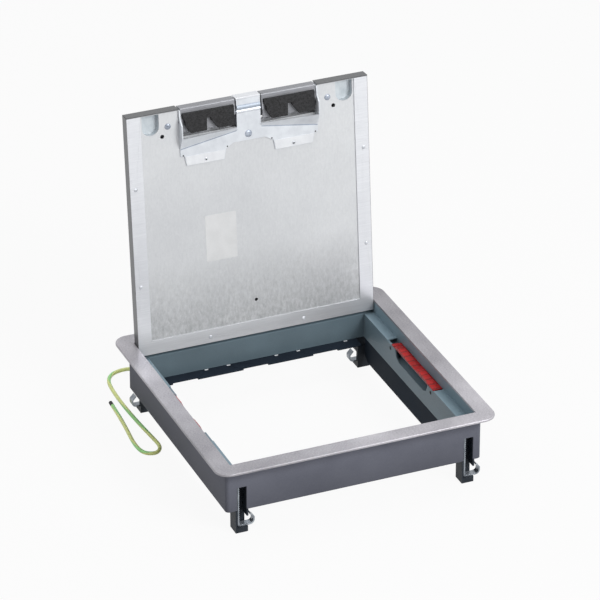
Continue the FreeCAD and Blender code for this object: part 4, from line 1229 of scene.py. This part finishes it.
@dataclass
class EarthWire:
    """The flexible earth wire, from the lug behind the box to its black end sleeve, in metres."""

    finishes: Finishes
    diameter: float = 0.004
    length: float = 0.4105
    route: tuple[tuple[float, float, float], ...] = (
        (-0.095, 0.1386, 0.0395), (-0.095, 0.1386, 0.0265), (-0.094, 0.1486, 0.013),
        (-0.093, 0.1636, 0.0026), (-0.091, 0.187, 0.002), (-0.097, 0.203, 0.002),
        (-0.112, 0.210, 0.002), (-0.129, 0.207, 0.002), (-0.139, 0.195, 0.002),
        (-0.142, 0.174, 0.002), (-0.1425, 0.140, 0.002), (-0.141, 0.102, 0.002),
        (-0.138, 0.066, 0.002), (-0.1365, 0.046, 0.002), (-0.145, 0.035, 0.002),
        (-0.158, 0.041, 0.002), (-0.160, 0.062, 0.002), (-0.1565, 0.092, 0.002),
        (-0.154, 0.122, 0.002), (-0.153, 0.143, 0.002))

    def build(self) -> bpy.types.Object:
        """Returns:
            The wire.
        """
        curve = bpy.data.curves.new("earth_wire_line", "CURVE")
        curve.dimensions = "3D"
        curve.bevel_depth = self.diameter / 2
        curve.bevel_resolution = 6
        curve.resolution_u = 16
        curve.use_fill_caps = True
        line = curve.splines.new("NURBS")
        line.points.add(len(self.route) - 1)
        for point, place in zip(line.points, self.route):
            point.co = (*place, 1.0)
        line.order_u = 3
        line.use_endpoint_u = True
        curve.materials.append(self.finishes["earth_wire_insulation"])
        wire = link("earth_wire_line", curve)
        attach(wire, "box")
        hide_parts("earth_wire")
        return wire


@dataclass(frozen=True)
class Lamp:
    """A square area lamp: its place and side in metres and its power in watts."""

    name: str
    place: tuple[float, float, float]
    side: float
    power: float

    def hang(self, aim: Vector) -> None:
        """Hangs the lamp so that it looks at a point.

        Args:
            aim: The point, in metres.
        """
        data = bpy.data.lights.new(self.name, "AREA")
        data.size = self.side
        data.energy = self.power
        item = bpy.data.objects.new(self.name, data)
        bpy.context.scene.collection.objects.link(item)
        spot = Vector(self.place)
        item.matrix_world = Matrix.Translation(spot) @ (
            spot - aim).to_track_quat("Z", "Y").to_matrix().to_4x4()


@dataclass
class Studio:
    """Pale floor, soft lamps and the camera.

    Lengths are in metres, the lens and its sensor in millimetres and angles in degrees.
    """

    azimuth: float = -22.791
    elevation: float = 28.735
    distance: float = 4.1389
    lens: float = 245.5
    sensor: float = 36.0
    sight: float = 20.0
    across: float = -0.002262
    downward: float = -0.07774
    aim_height: float = 0.078
    lamp_aim: float = 0.1
    lamps: tuple[Lamp, ...] = (Lamp("key", (1.2, -2.4, 1.8), 1.5, 82),
                               Lamp("fill", (-1.5, -0.5, 2.3), 1.2, 10),
                               Lamp("top", (0.4, 0.6, 2.6), 1.6, 12))
    ambient: float = 0.42
    floor_half: float = 6.0
    floor_sink: float = 0.0003
    floor_grey: float = 0.55
    floor_glow: float = 0.93

    def axes(self) -> tuple[Vector, Vector, Vector]:
        """Gives the camera's backward, right and downward directions.

        Returns:
            Three unit vectors.
        """
        turn, lift = math.radians(self.azimuth), math.radians(self.elevation)
        back = Vector((math.sin(turn) * math.cos(lift), -math.cos(turn) * math.cos(lift),
                       math.sin(lift)))
        right = (-back).cross(Vector((0, 0, 1))).normalized()
        return back, right, (-back).cross(right)

    def camera(self) -> None:
        """Places the camera and makes it the scene's own."""
        back, right, down = self.axes()
        target = Vector((0, 0, self.aim_height)) + right * self.across + down * self.downward
        data = bpy.data.cameras.new("view_camera")
        data.lens = self.lens
        data.sensor_width = self.sensor
        data.clip_end = self.sight
        item = bpy.data.objects.new("view_camera", data)
        bpy.context.scene.collection.objects.link(item)
        item.matrix_world = Matrix.Translation(target + back * self.distance) @ Matrix(
            (right, -down, back)).transposed().to_4x4()
        bpy.context.scene.camera = item

    def room(self) -> None:
        """Lights the box evenly from all round and shows white behind it."""
        world = bpy.data.worlds.new("studio")
        bpy.context.scene.world = world
        world.use_nodes = True
        tree = world.node_tree
        tree.nodes.clear()
        level = add(tree, "ShaderNodeMapRange", Value=direct_ray(tree), To_Min=self.ambient,
                    To_Max=1.0)
        light = add(tree, "ShaderNodeBackground", Color=(1, 1, 1, 1),
                    Strength=level.outputs["Result"])
        add(tree, "ShaderNodeOutputWorld", Surface=light.outputs[0])

    def floor_finish(self) -> bpy.types.Material:
        """Makes the floor's matt paper, which glows only where it is looked at.

        Returns:
            The material.
        """
        surface = bpy.data.materials.new("pale_floor")
        surface.use_nodes = True
        tree = surface.node_tree
        tree.nodes.clear()
        paper = add(tree, "ShaderNodeBsdfDiffuse", Color=(*[self.floor_grey] * 3, 1))
        glow = add(tree, "ShaderNodeEmission", Color=(1, 1, 1, 1), Strength=1.0)
        share = add(tree, "ShaderNodeMath", {"operation": "MULTIPLY"})
        tree.links.new(direct_ray(tree), share.inputs[0])
        share.inputs[1].default_value = self.floor_glow
        mixed = add(tree, "ShaderNodeMixShader", Fac=share.outputs[0])
        tree.links.new(paper.outputs[0], mixed.inputs[1])
        tree.links.new(glow.outputs[0], mixed.inputs[2])
        add(tree, "ShaderNodeOutputMaterial", Surface=mixed.outputs[0])
        return surface

    def floor(self) -> None:
        """Lays the pale floor, which catches the box's shadow."""
        mesh = bpy.data.meshes.new("floor")
        side, low = self.floor_half, -self.floor_sink
        mesh.from_pydata([(-side, -side, low), (side, -side, low), (side, side, low),
                          (-side, side, low)], [], [(0, 1, 2, 3)])
        floor = link("floor", mesh)
        mesh.materials.append(self.floor_finish())

    def build(self) -> None:
        """Sets up the camera, the lamps, the room and the floor."""
        self.camera()
        for lamp in self.lamps:
            lamp.hang(Vector((0, 0, self.lamp_aim)))
        self.room()
        self.floor()
        bpy.context.scene.view_settings.view_transform = "Standard"


def main() -> None:
    """Builds the wire and the studio first, and then dresses the box."""
    logging.basicConfig(level=logging.INFO, format="%(name)s: %(message)s")
    Studio().build()
    finishes = Finishes()
    LOG.info("laid %s", EarthWire(finishes).build().name)
    for assembly in (FixedBox(finishes), Claws(finishes), LockSlides(finishes),
                     Lid(finishes, LidPose()), Flaps(finishes)):
        for piece in assembly.build():
            LOG.info("built %s", piece.name)
    bpy.context.view_layer.update()


if __name__ == "__main__":
    main()
